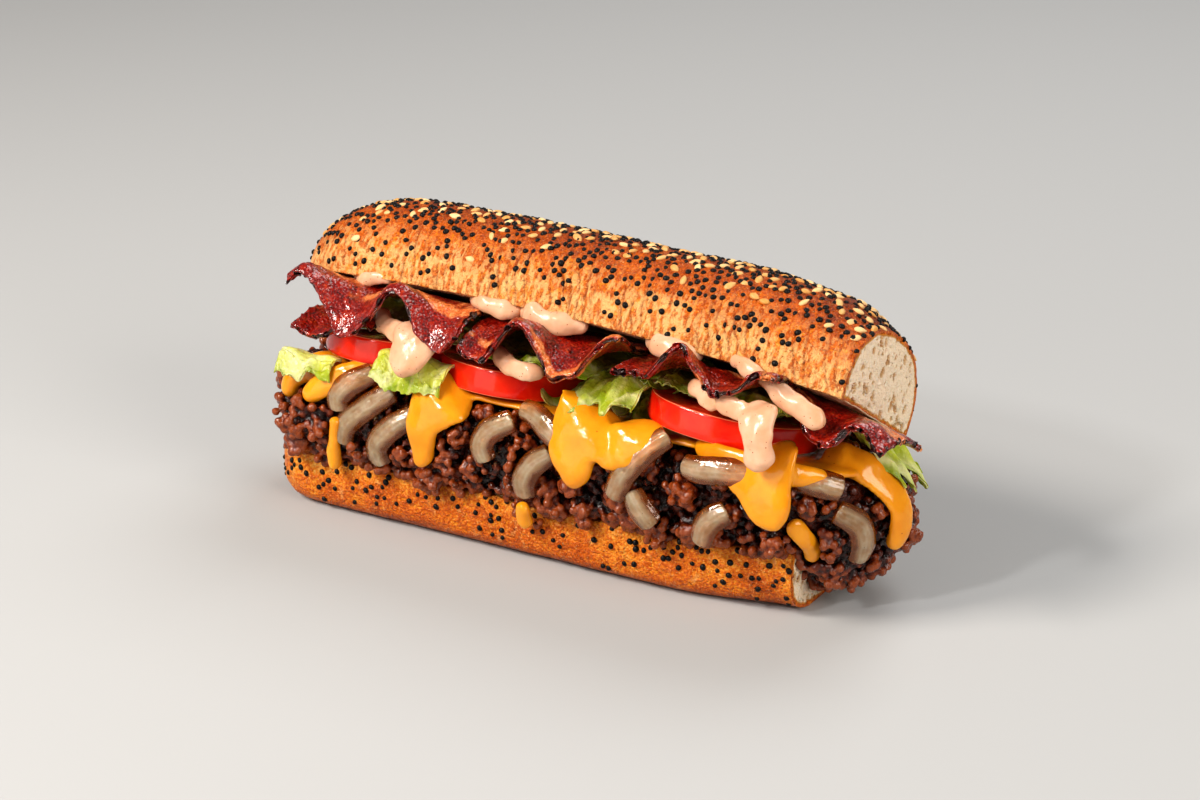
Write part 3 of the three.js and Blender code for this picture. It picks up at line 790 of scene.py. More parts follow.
@dataclass(frozen=True)
class TomatoFlesh(Finish):
    """Ripe tomato: a smooth waxy red skin round the slice, and wet paler flesh where the knife went."""

    name: str = "ripe tomato"
    roughness: float = 0.18

    def dress(self, look: Look) -> None:
        """Shows skin on the rim and flesh with pale veins on the cut faces, and paints a pale highlight along
        the rim's edges.
        """
        drift = look.noise(8.0, 3)
        skin = look.ramp(drift, [(0.3, 0xDE1A08), (0.7, 0xF03414)])
        flesh = look.ramp(look.noise(3.0, 4), [(0.3, 0xB3150A), (0.6, 0xD6341C), (0.8, 0xE8684A)])
        cut = look.step(look.value("cut"), 0.35, 0.65)
        # painted highlight: a pale line along both edges of the rim
        line = look.step(look.value("edge"), 0.4, 0.9)
        colour = look.blend(line, look.blend(cut, skin, flesh), srgb(0xFF9C70))
        look.link(Base_Color=colour)
        look.link(Normal=look.bump([(drift, 0.25), (look.noise(1.2, 2), 0.05)]))
        look.fix(Subsurface_Weight=0.25, Subsurface_Radius=(1.0, 0.15, 0.08), Subsurface_Scale=0.003)
        look.fix(Coat_Weight=0.35, Coat_Roughness=0.07)


@dataclass(frozen=True)
class LettuceLeaf(Finish):
    """Crisp lettuce: a thin crinkled leaf that light shines through, cream inside and green at its edge."""

    name: str = "crisp lettuce"
    roughness: float = 0.34

    def dress(self, look: Look) -> None:
        """Greens the leaf towards its edge and pales its veins."""
        patch = look.noise(5.0, 4)
        fine = look.noise(1.2, 3)
        green = look.sum(look.value("across"), patch, 0.7, -0.4)
        body = look.ramp(green, [(0.0, 0xF4F0A0), (0.35, 0xDEDE5E), (0.7, 0xBCC834), (1.0, 0x8CA41E)])
        body = look.blend(look.value("vein"), body, srgb(0xEFF0A8))
        relief = look.bump([(patch, 0.7), (fine, 0.45)])
        look.link(Base_Color=body, Normal=relief, Coat_Normal=relief)
        look.fix(Subsurface_Weight=0.4, Subsurface_Radius=(0.8, 1.0, 0.2), Subsurface_Scale=0.004)
        look.fix(Transmission_Weight=0.15, Coat_Weight=0.15, Coat_Roughness=0.18)


@dataclass(frozen=True)
class FriedBacon(Finish):
    """Smoked bacon fried crisp: mahogany meat, orange streaks of fat, charred edges and a glossy skin."""

    name: str = "fried smoked bacon"
    roughness: float = 0.3

    def dress(self, look: Look) -> None:
        """Lays meat, fat and char by the values kept on the mesh."""
        patch = look.noise(4.0, 4)
        fine = look.noise(0.8, 3)
        tone = look.sum(fine, patch, 0.9, -0.45)
        meat = look.ramp(tone, [(0.2, 0x300201), (0.4, 0x700702), (0.6, 0x981806), (0.9, 0xC85426)])
        fat = look.ramp(tone, [(0.2, 0xB8441A), (0.5, 0xDE7A3C), (0.85, 0xF4B47C)])
        colour = look.blend(look.value("fat"), meat, fat)
        char = look.sum(look.value("char"), patch, 0.5, -0.25)
        colour = look.blend(look.step(char, 0.65, 1.0), colour, srgb(0x2C0402))
        bubbles = look.cells(1.0)
        relief = look.bump([(patch, 0.6), (bubbles, 0.4), (fine, 0.22)])
        grease = look.bump([(patch, 0.5), (bubbles, 0.16)])
        look.link(Base_Color=colour, Normal=relief, Coat_Normal=grease)
        look.fix(Subsurface_Weight=0.12, Subsurface_Radius=(1.0, 0.25, 0.1), Subsurface_Scale=0.002)
        look.fix(Coat_Weight=1.0, Coat_Roughness=0.09)


@dataclass(frozen=True)
class PinkMayonnaise(Finish):
    """Mayonnaise stirred with a little chilli: a smooth pink-beige cream, softly glossy, with red specks."""

    name: str = "pink mayonnaise"
    roughness: float = 0.26

    def dress(self, look: Look) -> None:
        """Adds the specks and a slow drift of colour."""
        drift = look.noise(7.0, 3)
        body = look.ramp(drift, [(0.3, 0xD8A07A), (0.7, 0xE6BA9A)])
        speck = look.step(look.cells(1.7), 0.13, 0.08)
        look.link(Base_Color=look.blend(speck, body, srgb(0x9A4A26)))
        look.link(Normal=look.bump([(drift, 0.5), (look.noise(1.8, 2), 0.08)]))
        look.fix(Subsurface_Weight=0.3, Subsurface_Radius=(1.0, 0.6, 0.4), Subsurface_Scale=0.002)
        look.fix(Coat_Weight=0.22, Coat_Roughness=0.14)


@dataclass(frozen=True)
class StudioPaper(Finish):
    """Plain pale background paper, matt and even."""

    name: str = "background paper"
    roughness: float = 0.9

    def dress(self, look: Look) -> None:
        """One pale grey, since paper has no pattern that shows."""
        look.fix(Base_Color=srgb(0xB4B4B3), Specular_IOR_Level=0.2)


def dress(made: bpy.types.Object, finish: Finish, slot: str, *nodes: str) -> bpy.types.Object:
    """Gives a piece its finish and its place among the solids.

    Args:
        made: The piece.
        finish: What it is made of.
        slot: The record's material slot that it belongs to; not used.
        *nodes: The solids that it stands for.

    Returns:
        The same piece.
    """
    made.data.materials.clear()
    made.data.materials.append(finish.material())
    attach(made, "root")
    if nodes:
        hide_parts(*nodes)
    LOG.info("%s: %d faces", made.name, len(made.data.polygons))
    return made


class Layer:
    """A food in pieces, each of which stands for the solid of its own name."""

    finish: ClassVar[Finish]
    slot: ClassVar[str]

    def forms(self) -> dict[str, Form]:
        """Every piece's form by its solid's name."""
        raise NotImplementedError

    def build(self) -> list[Form]:
        """Builds and dresses the pieces, and returns their forms."""
        forms = self.forms()
        for name, form in forms.items():
            dress(form.to_object(name), self.finish, self.slot, name)
        return list(forms.values())


# Bread


def end_round(distance: Any, radius: float) -> Any:
    """0 at a round end's tip and 1 from one radius inwards."""
    return np.sqrt(np.maximum(0, 1 - (np.maximum(0, radius - distance) / radius) ** 2))


@dataclass
class LoafHalf:
    """Half a roll, cut square at +X and round at -X.

    Attributes:
        name: The piece's name, the same as its solid's.
        left: X of the round tip.
        cut: X of the cut end.
        half: Half the width.
        height: The thickness from the cut side to the crust.
        end_radius: How far the round end reaches in.
        tuck: The share of the half width by which the sides draw in at the cut side.
        arc_points: Points over the crust of a section.
        side_points: Points across the cut side of a section.
        pores: How many holes show on the cut end.
        poppies: Poppy seeds on a square centimetre where they lie thickest.
    """

    name: str
    left: float
    cut: float
    half: float
    height: float
    end_radius: float
    tuck: float = 0.05
    arc_points: int = 150
    side_points: int = 54
    pores: int = 230
    poppies: float = 21.0

    def outline(self, half: float, height: float, exponent: float) -> Array:
        """A section's outline, first over the crust and then back across the cut side.

        Args:
            half: Half its width.
            height: Its height.
            exponent: 2 for an ellipse and more for a squarer section.

        Returns:
            For each point its place across and its height.
        """
        angle = np.linspace(0, math.pi, 1441)
        rise = np.sin(angle) ** (2 / exponent)
        drawn = 1 - self.tuck * (1 - rise) ** 3
        crust = np.stack([-half * drawn * signed_power(np.cos(angle), 2 / exponent), height * rise], axis=1)
        walked = np.concatenate([[0], np.cumsum(np.linalg.norm(np.diff(crust, axis=0), axis=1))])
        even = np.linspace(0, walked[-1], self.arc_points)
        crust = np.stack([np.interp(even, walked, crust[:, i]) for i in range(2)], axis=1)
        edge = half * (1 - self.tuck)
        across = np.linspace(edge, -edge, self.side_points + 2)[1:-1]
        return np.concatenate([crust, np.stack([across, np.zeros_like(across)], axis=1)])

    def section(self, x: float) -> Array:
        """The points of the section at x."""
        raise NotImplementedError

    def stations(self) -> Array:
        """X of each section, closer together over the round end and at the cut."""
        turn = np.linspace(0, math.pi / 2, 34)
        round_end = self.left + self.end_radius * (1 - np.cos(turn))
        straight = np.linspace(round_end[-1], self.cut, 270)[1:]
        return np.concatenate([round_end, straight])

    def skin(self) -> Form:
        """The crust and the cut side, open at the cut end, with the value "share"."""
        stations = self.stations()
        rings = [self.section(x) for x in stations]
        first = rings[0]
        middle = first.mean(axis=0)
        nose = []
        for turn in np.linspace(0.04, math.pi / 2, 9)[:-1]:
            ring = middle + (first - middle) * math.sin(turn)
            ring[:, 0] -= 1.6 * math.cos(turn)
            nose.append(ring)
        rings = np.array(nose + rings)
        count, sides = rings.shape[:2]
        hub = nose[0].mean(axis=0)
        place = np.arange(sides)
        fan = np.stack([(place + 1) % sides, place, np.full(sides, count * sides)], axis=1)
        made = Form(np.concatenate([rings.reshape(-1, 3), [hub]]), grid_quads(count, sides, True), fan)
        share = np.concatenate([np.linspace(0, 1, self.arc_points), np.full(self.side_points, -1.0)])
        made.values["share"] = np.append(np.tile(share, count), 0.5)
        return made

    def browning(self, points: Array, share: Array) -> dict[str, Array]:
        """How the crust is coloured.

        Args:
            points: The crust's points.
            share: Each one's share of the way over the crust, or -1 on the cut side.

        Returns:
            The values "bake" and "streak".
        """
        raise NotImplementedError

    def relief(self, points: Array, share: Array) -> Array:
        """How far the crust rises or sinks, in millimetres."""
        raise NotImplementedError

    def cut_end(self, ring: Array) -> Form:
        """The cut end's crumb, with its holes, which are painted darker inside as shade.

        Args:
            ring: The outline that the crumb fills.

        Returns:
            The open form, meeting the crust at its outline.
        """
        sides = len(ring)
        middle = ring.mean(axis=0)
        steps = 56
        inward = (np.arange(steps) / steps) ** 0.9
        points = middle + (ring[None, :, :] - middle) * (1 - inward)[:, None, None]
        flat = np.concatenate([points.reshape(-1, 3), [middle]])
        quads = grid_quads(steps, sides, True)[:, ::-1]
        place = np.arange(sides)
        after = (place + 1) % sides
        last = (steps - 1) * sides
        fan = np.stack([np.full(sides, steps * sides), last + after, last + place], axis=1)
        depth_in = np.full(len(flat), 50.0)
        for start in range(0, sides, 2):
            depth_in = np.minimum(depth_in, np.linalg.norm(flat - ring[start], axis=1))
        depth_in[:sides] = 0
        draw = np.random.default_rng(7 + len(self.name))
        low, high = ring.min(axis=0), ring.max(axis=0)
        pits = np.zeros(len(flat))
        warped = flat[:, 1:] + 0.35 * np.stack([value_noise(flat, 1.6, 3), value_noise(flat, 1.6, 4)], axis=1)
        for _ in range(self.pores):
            centre = draw.uniform(low[1:], high[1:])
            size = draw.choice([0.4, 0.6, 0.9, 1.3], p=[0.42, 0.33, 0.19, 0.06]) * draw.uniform(0.8, 1.2)
            lean, stretch = draw.uniform(-0.5, 0.9), draw.uniform(1.0, 1.7)
            offset = warped - centre
            long = offset[:, 0] * math.sin(lean) + offset[:, 1] * math.cos(lean)
            short = offset[:, 0] * math.cos(lean) - offset[:, 1] * math.sin(lean)
            reach = np.sqrt((long / (size * stretch)) ** 2 + (short / size) ** 2)
            pits = np.maximum(pits, np.sqrt(np.clip(1 - reach**2, 0, 1)) * min(1.0, 0.45 + size * 0.5))
        inside = smooth(0.6, 1.6, depth_in)
        pits *= inside
        crumbs = 0.3 * rough_noise(flat, 5.0, 21) + 0.22 * rough_noise(flat, 1.3, 22)
        flat[:, 0] -= 1.7 * pits + inside * crumbs
        # painted shade: each hole's depth is kept to darken the crumb inside it
        values = {"depth_in": 0.5 * depth_in, "pore": pits, "bake": np.full(len(flat), 0.4)}
        return Form(flat, quads, fan, values)

    def build(self) -> bpy.types.Object:
        """The whole half loaf, dressed."""
        skin = self.skin()
        share = skin.values.pop("share")
        cut_side = share < 0
        skin.outward()
        crumb = 0.35 * rough_noise(skin.points, 3.0, 31)
        skin.push(np.where(cut_side, crumb, self.relief(skin.points, share)))
        skin.values.update(self.browning(skin.points, share))
        across = np.abs(np.linspace(-1, 1, self.side_points))
        rim = np.concatenate([np.zeros(self.arc_points), (1 - across) * self.half])
        skin.values["depth_in"] = np.append(np.tile(rim, len(share) // len(rim)), 0)
        # painted shade: dark spots on the cut side stand for the shade in holes that the mesh doesn't have
        pores = np.clip(0.5 + rough_noise(skin.points, 2.0, 5), 0, 1)
        skin.values["pore"] = np.where(cut_side, pores * 0.6, 0)
        end = self.cut_end(skin.points[-1 - len(rim) : -1])
        made = join([skin, end]).to_object(self.name)
        weld(made)
        return dress(made, BakedCrust(), "crust", self.name)


def weld(made: bpy.types.Object) -> None:
    """Merges the points that lie on each other, so that a seam is closed and shaded as one surface."""
    joint = made.modifiers.new("weld", "WELD")
    joint.merge_threshold = 0.01 * MM
    apply_modifiers(made)


@dataclass
class Heel(LoafHalf):
    """The lower half of the roll, flat underneath.

    Attributes:
        power: How square its section is along its middle.
        power_at_cut: How square its section is at the cut end.
    """

    name: str = "bread_bottom"
    left: float = -111
    cut: float = 83
    half: float = 31.4
    height: float = 19
    end_radius: float = 22
    power: float = 6.5
    power_at_cut: float = 3.8
    pores: int = 120
    poppies: float = 7.5

    def section(self, x: float) -> Array:
        """The points of the section at x."""
        end = end_round(x - self.left + 0.3, self.end_radius)
        taper = 3 * smooth(40, self.cut, x)
        half = (self.half - 0.9 * taper) * (0.3 + 0.7 * end)
        tall = self.height + taper
        outline = self.outline(half, tall * 1.03, mix(self.power, self.power_at_cut, taper / 3))
        z = tall - np.minimum(outline[:, 1], tall)
        z = mix(tall / 2, z, 0.55 + 0.45 * end)
        return np.stack([np.full(len(z), x), SKEW * x + outline[:, 0], z], axis=1)

    def relief(self, points: Array, share: Array) -> Array:
        """A mottled, pitted crust that stays flat underneath."""
        off_table = smooth(0.3, 3.0, points[:, 2])
        lumps = 0.5 * rough_noise(points, 13, 41) + 0.34 * rough_noise(points, 3.4, 43)
        pits = -0.5 * np.clip(rough_noise(points, 1.7, 45) - 0.1, 0, 1)
        return (lumps + pits) * off_table

    def browning(self, points: Array, share: Array) -> dict[str, Array]:
        """Orange on its side, with a browner base and pale flecks."""
        z = points[:, 2]
        bake = 0.33 + 0.22 * smooth(7, 1, z) + 0.2 * rough_noise(points, 12, 51) - 0.12 * smooth(11, 18, z)
        streak = 0.5 * smooth(0.05, 0.5, rough_noise(points, 3.0, 55))
        poppy = smooth(2.5, 7, z) * (0.4 + 0.6 * smooth(6, 13, z)) * (share >= 0)
        return {"bake": np.clip(bake, 0, 1), "streak": streak, "poppy": poppy, "sesame": poppy * 0}


@dataclass
class Crown(LoafHalf):
    """The seeded upper half of the roll, leaning back on the filling.

    Attributes:
        power: How square its section is.
        lip_y: Y of its front lower edge.
        lip_z: The highest point of that edge.
        sag: How far the edge falls sag_reach away from sag_from.
        lean: Degrees that it leans back at its middle and at the cut end.
    """

    name: str = "bread_top"
    left: float = -112.5
    cut: float = 96.5
    half: float = 29
    height: float = 30.2
    end_radius: float = 30
    power: float = 2.5
    lip_y: float = -22
    lip_z: float = 82
    sag: float = 5.5
    sag_from: float = -15
    sag_reach: float = 110
    lean: Pair = (28, 33.5)

    def section(self, x: float) -> Array:
        """The points of the section at x."""
        near_cut = smooth(40, self.cut, x)
        lean = math.radians(mix(self.lean[0], self.lean[1], near_cut))
        half = self.half - near_cut
        lip = np.array([x, self.lip_y, self.lip_z - self.sag * ((x - self.sag_from) / self.sag_reach) ** 2])
        chord = np.array([0, math.cos(lean), -math.sin(lean)])
        rise = np.array([0, math.sin(lean), math.cos(lean)])
        centre = lip + chord * half
        distance = x - self.left + 0.3
        full = self.height + 2 * smooth(20, 70, x) - 6 * smooth(82, self.cut + 2, x)
        height = full * (0.12 + 0.88 * end_round(distance, 1.5 * self.end_radius))
        outline = self.outline(half * end_round(distance, self.end_radius), height, self.power)
        return centre + outline[:, :1] * chord + outline[:, 1:] * rise

    def relief(self, points: Array, share: Array) -> Array:
        """Soft lumps, with wrinkles across the loaf on its lower sides."""
        over = np.where(share > 0.5, 1 - share, share)
        low = smooth(0.01, 0.05, over) * smooth(0.4, 0.2, over)
        lumps = 0.55 * rough_noise(points, 17, 63) + 0.24 * rough_noise(points, 4, 65)
        return lumps - 0.75 * low * self.wrinkles(points)

    def wrinkles(self, points: Array) -> Array:
        """Creases a few millimetres apart that run across the loaf: 1 along each and 0 between them."""
        along = points[:, 0] + 0.2 * points[:, 2]
        along = along + 2.2 * value_noise(points, 11, 61) + 0.7 * value_noise(points, 3.5, 62)
        line = np.clip(1 - 2.4 * np.abs(np.sin(math.pi * along / 3.3)), 0, 1)
        return line * smooth(-0.6, 0.3, value_noise(points * np.array([1.0, 0.3, 0.3]), 5, 64))

    def browning(self, points: Array, share: Array) -> dict[str, Array]:
        """Red-brown on the ridge, orange lower down and pale at the lip."""
        over = np.where(share > 0.5, 1 - share, share)
        bake = 0.33 + 0.36 * smooth(0.06, 0.4, over) + 0.14 * rough_noise(points, 20, 71)
        streak = 0.85 * smooth(0.27, 0.06, over + 0.06 * rough_noise(points, 9, 72))
        crust = (share >= 0) * smooth(0.012, 0.05, over)
        poppy = crust * (0.22 + 0.14 * smooth(0.04, 0.14, over) + 0.64 * smooth(0.12, 0.26, over))
        sesame = crust * (0.06 * smooth(0.08, 0.14, over) + 0.94 * smooth(0.17, 0.3, over))
        fold = 0.9 * smooth(0.36, 0.16, over) * self.wrinkles(points)
        values = {"bake": bake, "streak": streak, "fold": fold, "poppy": poppy, "sesame": sesame}
        return {name: np.clip(value, 0, 1) for name, value in values.items()}


# Seeds


class Seed(Enum):
    """The kinds of seed on the roll."""

    POPPY = "poppy"
    SESAME = "sesame"


@dataclass
class Seeding:
    """One kind of seed scattered over a crust by Geometry Nodes.

    Attributes:
        kind: Which seed it is.
        spacing: The least distance between two seeds, in millimetres.
        density: How many lie on a square centimetre where they are thickest.
        sizes: The smallest and largest scale.
        pattern: The number that fixes their places.
        sink: How far they are pressed into the crust, in millimetres.
    """

    kind: Seed
    spacing: float
    density: float
    sizes: Pair
    pattern: int
    sink: float

    def shape(self) -> bpy.types.Object:
        """One seed with a few dozen faces, lying along X with its flat side down."""
        sides = 8
        rings = 5 if self.kind is Seed.POPPY else 7
        turn = np.linspace(0, math.pi, rings + 2)[1:-1]
        angle = 2 * math.pi * np.arange(sides) / sides
        if self.kind is Seed.POPPY:
            length, width, height = 0.8, 0.74, 0.7
            taper = np.ones(rings)
        else:
            length, width, height = 1.75, 1.08, 0.62
            taper = np.interp(-np.cos(turn), [-1, 0.2, 1], [1.12, 1.0, 0.55])
        x = -np.cos(turn) * length
        radius = np.sin(turn) * taper
        rings_at = np.stack([
            np.repeat(x[:, None], sides, axis=1),
            radius[:, None] * np.cos(angle) * width,
            radius[:, None] * np.sin(angle) * height,
        ], axis=-1)
        form = loft(rings_at)
        form.points[-2:, 0] = [-length, length]
        form.points -= SHIFT
        return form.to_object(f"one {self.kind.value} seed")

    def tree(self) -> Tree:
        """The node tree that scatters the seeds."""
        tree = bpy.data.node_groups.new(f"{self.kind.value} scatter", "GeometryNodeTree")
        sockets = [
            ("Crust", "Geometry"), ("Seed shape", "Object"), ("Least spacing", "Float"),
            ("Most per square metre", "Float"), ("Smallest", "Float"), ("Largest", "Float"),
            ("Pattern", "Int"), ("Sink", "Float"), ("Hull", "Material"),
        ]
        for name, kind in sockets:
            tree.interface.new_socket(name, in_out="INPUT", socket_type=f"NodeSocket{kind}")
        tree.interface.new_socket("Seeds", in_out="OUTPUT", socket_type="NodeSocketGeometry")
        given = add_node(tree, "NodeGroupInput").outputs
        label = {"Name": self.kind.value}
        share = add_node(tree, "GeometryNodeInputNamedAttribute", label, data_type="FLOAT")
        spread = add_node(tree, "GeometryNodeDistributePointsOnFaces", {
            "Mesh": given["Crust"], "Distance Min": given["Least spacing"], "Seed": given["Pattern"],
            "Density Max": given["Most per square metre"], "Density Factor": share.outputs[0],
        }, distribute_method="POISSON")
        shape = add_node(tree, "GeometryNodeObjectInfo", {"Object": given["Seed shape"]})
        turn = add_node(tree, "FunctionNodeRandomValue", {
            0: (-0.22, -0.22, -3.1416), 1: (0.22, 0.22, 3.1416), "Seed": given["Pattern"],
        }, data_type="FLOAT_VECTOR")
        size = add_node(tree, "FunctionNodeRandomValue", {
            2: given["Smallest"], 3: given["Largest"], "Seed": given["Pattern"],
        }, data_type="FLOAT")
        laid = add_node(tree, "GeometryNodeInstanceOnPoints", {
            "Points": spread.outputs["Points"], "Instance": shape.outputs["Geometry"],
            "Rotation": spread.outputs["Rotation"], "Scale": size.outputs[1],
        })
        turned = add_node(tree, "GeometryNodeRotateInstances", {
            "Instances": laid.outputs[0], "Rotation": turn.outputs[0],
        })
        down = add_node(tree, "ShaderNodeCombineXYZ", {"Z": given["Sink"]})
        pressed = add_node(tree, "GeometryNodeTranslateInstances", {
            "Instances": turned.outputs[0], "Translation": down.outputs[0],
        })
        tone = add_node(tree, "FunctionNodeRandomValue", {"Seed": 5}, data_type="FLOAT")
        toned = add_node(tree, "GeometryNodeStoreNamedAttribute", {
            "Geometry": pressed.outputs[0], "Name": "tone", "Value": tone.outputs[1],
        }, data_type="FLOAT", domain="INSTANCE")
        real = add_node(tree, "GeometryNodeRealizeInstances", {"Geometry": toned.outputs[0]})
        hulled = add_node(tree, "GeometryNodeSetMaterial", {
            "Geometry": real.outputs[0], "Material": given["Hull"],
        })
        add_node(tree, "NodeGroupOutput", {0: hulled.outputs[0]})
        return tree

    def scatter(self, crust: bpy.types.Object, name: str, hull: Finish) -> bpy.types.Object:
        """Lays the seeds on a crust and turns them to a plain mesh.

        Args:
            crust: The piece that carries them, with their share as a value.
            name: The new piece's name.
            hull: The seeds' finish.

        Returns:
            The seeds as one piece.
        """
        shape = self.shape()
        tree = self.tree()
        made = bpy.data.objects.new(name, crust.data)
        bpy.context.scene.collection.objects.link(made)
        modifier = made.modifiers.new("scatter", "NODES")
        modifier.node_group = tree
        given = {
            "Seed shape": shape,
            "Least spacing": self.spacing * MM,
            "Most per square metre": self.density * 1e4,
            "Smallest": self.sizes[0],
            "Largest": self.sizes[1],
            "Pattern": self.pattern,
            "Sink": -self.sink * MM,
            "Hull": hull.material(),
        }
        for label, value in given.items():
            modifier[tree.interface.items_tree[label].identifier] = value
        apply_modifiers(made)
        made.data.shade_smooth()
        bpy.data.objects.remove(shape)
        return dress(made, hull, "crust")


# Beef


@dataclass
class BeefHeap:
    """Crumbled beef heaped along the loaf and spilling over its cut end.

    Attributes:
        left: X of the heap's left end.
        right: X of the heap's right end, before the spill.
        half: Half its width.
        floor: Its underside.
        height: Its height.
        slope: How much lower its back is than its front.
        end_radius: How far its round ends reach in.
        power: How square its section is.
        spill: The middle of the part that spills over the cut end.
        spill_size: Half the spill's size along each axis.
        grain: The smallest and largest radius of a grain.
        clump: The smallest and largest radius of a clump of grains.
        apart: The least distance between two clumps, and between two of the grains that fill the gaps.
        cuts: X of the cuts between its pieces.
    """

    left: float = -108
    right: float = 98
    half: float = 30.5
    floor: float = 19.4
    height: float = 22.8
    slope: float = 0.3
    end_radius: float = 20
    power: float = 3
    spill: Triple = (87, 4, 27.5)
    spill_size: Triple = (17.5, 24, 19.5)
    grain: Pair = (1.2, 1.75)
    clump: Pair = (2.9, 5.2)
    apart: Pair = (8.1, 2.8)
    cuts: tuple[float, ...] = (-200, -70, -30, 10, 50, 82, 200)

    def place(self, x: Array, angle: Array, outwards: Array) -> Array:
        """Points round the heap.

        Args:
            x: Along the loaf.
            angle: Round the section, the mouth's side at pi.
            outwards: Millimetres out from the heap's own surface.

        Returns:
            One point for each set of three.
        """
        rise = 0.5 + 0.5 * signed_power(np.sin(angle), 2 / self.power)
        near_end = np.minimum(x - self.left, self.right - x) + 1
        wide = self.half * end_round(near_end, self.end_radius) + outwards
        y = wide * signed_power(np.cos(angle), 2 / self.power)
        tall = self.height * (1 - self.slope * y / self.half)
        base = self.floor + 3 * smooth(40, 83, x)
        return np.stack([x, y - 2 + SKEW * x, base + rise * tall + outwards * np.sin(angle)], axis=-1)

    def core(self, inset: float) -> Form:
        """The heap's body under its loose grains."""
        x = np.concatenate([
            self.left + self.end_radius * (1 - np.cos(np.linspace(0, math.pi / 2, 10))),
            np.linspace(self.left + self.end_radius, self.right - self.end_radius, 60)[1:],
            self.right - self.end_radius * (1 - np.cos(np.linspace(math.pi / 2, 0, 10)))[1:],
        ])
        angle = 2 * math.pi * np.arange(48) / 48
        along, turn = np.meshgrid(x, angle, indexing="ij")
        body = loft(self.place(along, turn, np.full(along.shape, -inset)))
        lift, turn = np.meshgrid(np.linspace(0.08, math.pi - 0.08, 20), angle, indexing="ij")
        ball = np.stack([np.cos(turn) * np.sin(lift), np.sin(turn) * np.sin(lift), np.cos(lift)], axis=-1)
        return join([body, loft(ball * (np.array(self.spill_size) - inset) + np.array(self.spill))])

    def body_seats(self, draw: np.random.Generator, count: int) -> tuple[Array, Array]:
        """Places on the long body, few of them on its covered top, and the outward direction at each."""
        x = draw.uniform(self.left, self.right, count)
        angle = draw.uniform(0, 2 * math.pi, count)
        shown = (np.sin(angle) > -0.75) & ((np.sin(angle) < 0.86) | (draw.uniform(size=count) < 0.25))
        x, angle = x[shown], angle[shown]
        places = self.place(x, angle, np.zeros(len(x)))
        ways = self.place(x, angle, np.full(len(x), 2.0)) - places
        in_spill = (((places - np.array(self.spill)) / np.array(self.spill_size)) ** 2).sum(axis=1) < 0.9
        free = (places[:, 0] <= 84) | ~in_spill
        return places[free], ways[free]

    def spill_seats(self, draw: np.random.Generator, count: int) -> tuple[Array, Array]:
        """Places on the part that spills over the cut end, and the outward direction at each."""
        spokes = draw.normal(size=(count, 3))
        spokes /= np.linalg.norm(spokes, axis=1, keepdims=True)
        size = np.array(self.spill_size)
        places = np.array(self.spill) + spokes * size
        outer = (places[:, 0] > 78) & (places[:, 2] > 3)
        return places[outer], (spokes / size)[outer]

    def rim_seats(self, draw: np.random.Generator, count: int) -> tuple[Array, Array]:
        """Places along the lower edge of both long sides, and the outward direction at each."""
        x = draw.uniform(self.left + 4, self.right - 14, count)
        side = np.where(draw.uniform(size=count) < 0.6, -1.0, 1.0)
        reach = (self.half - 1) * end_round(x - self.left, self.end_radius) + 0.8
        low = self.floor + 3 * smooth(40, 83, x) + draw.uniform(0.5, 5, count)
        places = np.stack([x, side * reach - 1 + SKEW * x, low], axis=1)
        return places, np.stack([x * 0, side, x * 0 + 0.3], axis=1)

    def tip_seats(self, draw: np.random.Generator, count: int) -> tuple[Array, Array]:
        """Places on the left tip, and the outward direction at each."""
        places = np.stack([
            np.full(count, self.left - 0.5),
            draw.uniform(-12, 9, count) + SKEW * self.left,
            self.floor + draw.uniform(2, self.height - 1, count),
        ], axis=1)
        return places, np.tile([-1.0, 0.0, 0.0], (count, 1))

    def seats(self, draw: np.random.Generator, apart: float) -> tuple[Array, Array]:
        """Evenly scattered places on the heap's surface.

        Args:
            draw: The source of random numbers.
            apart: The least distance between two places.

        Returns:
            The places, and the outward direction at each.
        """
        count = int(3.2e5 / apart**2)
        parts = [
            self.body_seats(draw, count),
            self.spill_seats(draw, count // 3),
            self.rim_seats(draw, count // 6),
            self.tip_seats(draw, count // 12),
        ]
        places = np.concatenate([part[0] for part in parts])
        ways = np.concatenate([part[1] for part in parts])
        ways /= np.maximum(np.linalg.norm(ways, axis=1, keepdims=True), 1e-9)
        kept: list[int] = []
        taken = np.empty((len(places), 3))
        for k in draw.permutation(len(places)):
            if not kept or np.min(np.sum((taken[: len(kept)] - places[k]) ** 2, axis=1)) > apart**2:
                taken[len(kept)] = places[k]
                kept.append(k)
        return places[kept], ways[kept]

    def grains(self) -> tuple[Array, Array]:
        """The middle and the radius of every grain."""
        draw = np.random.default_rng(19)
        seats, ways = self.seats(draw, self.apart[0])
        middles, radii = [], []
        for seat, way in zip(seats, ways):
            clump = draw.uniform(*self.clump)
            heart = seat + way * draw.uniform(-1.2, 1.2)
            count = int(2.0 * clump**2)
            step = np.arange(count) + 0.5
            lift = np.arccos(1 - 2 * step / count)
            turn = step * GOLDEN_ANGLE + draw.uniform(0, 6)
            flat = np.sin(lift)
            spokes = np.stack([np.cos(turn) * flat, np.sin(turn) * flat, np.cos(lift)], axis=1)
            spokes += draw.normal(scale=0.12, size=spokes.shape)
            stretch = np.exp(draw.normal(scale=0.16, size=3))
            outer = heart + spokes * clump * stretch * draw.uniform(0.86, 1.1, (count, 1))
            outer = outer[(outer - heart) @ way > -0.35 * clump]
            middles.append(outer)
            radii.append(draw.uniform(*self.grain, len(outer)))
            middles.append(heart[None])
            radii.append(np.array([clump * 0.76]))
        fill, ways = self.seats(draw, self.apart[1])
        middles.append(fill - ways * draw.uniform(0.5, 2.4, (len(fill), 1)))
        radii.append(draw.uniform(1.3, 1.9, len(fill)))
        return np.concatenate(middles), np.concatenate(radii)

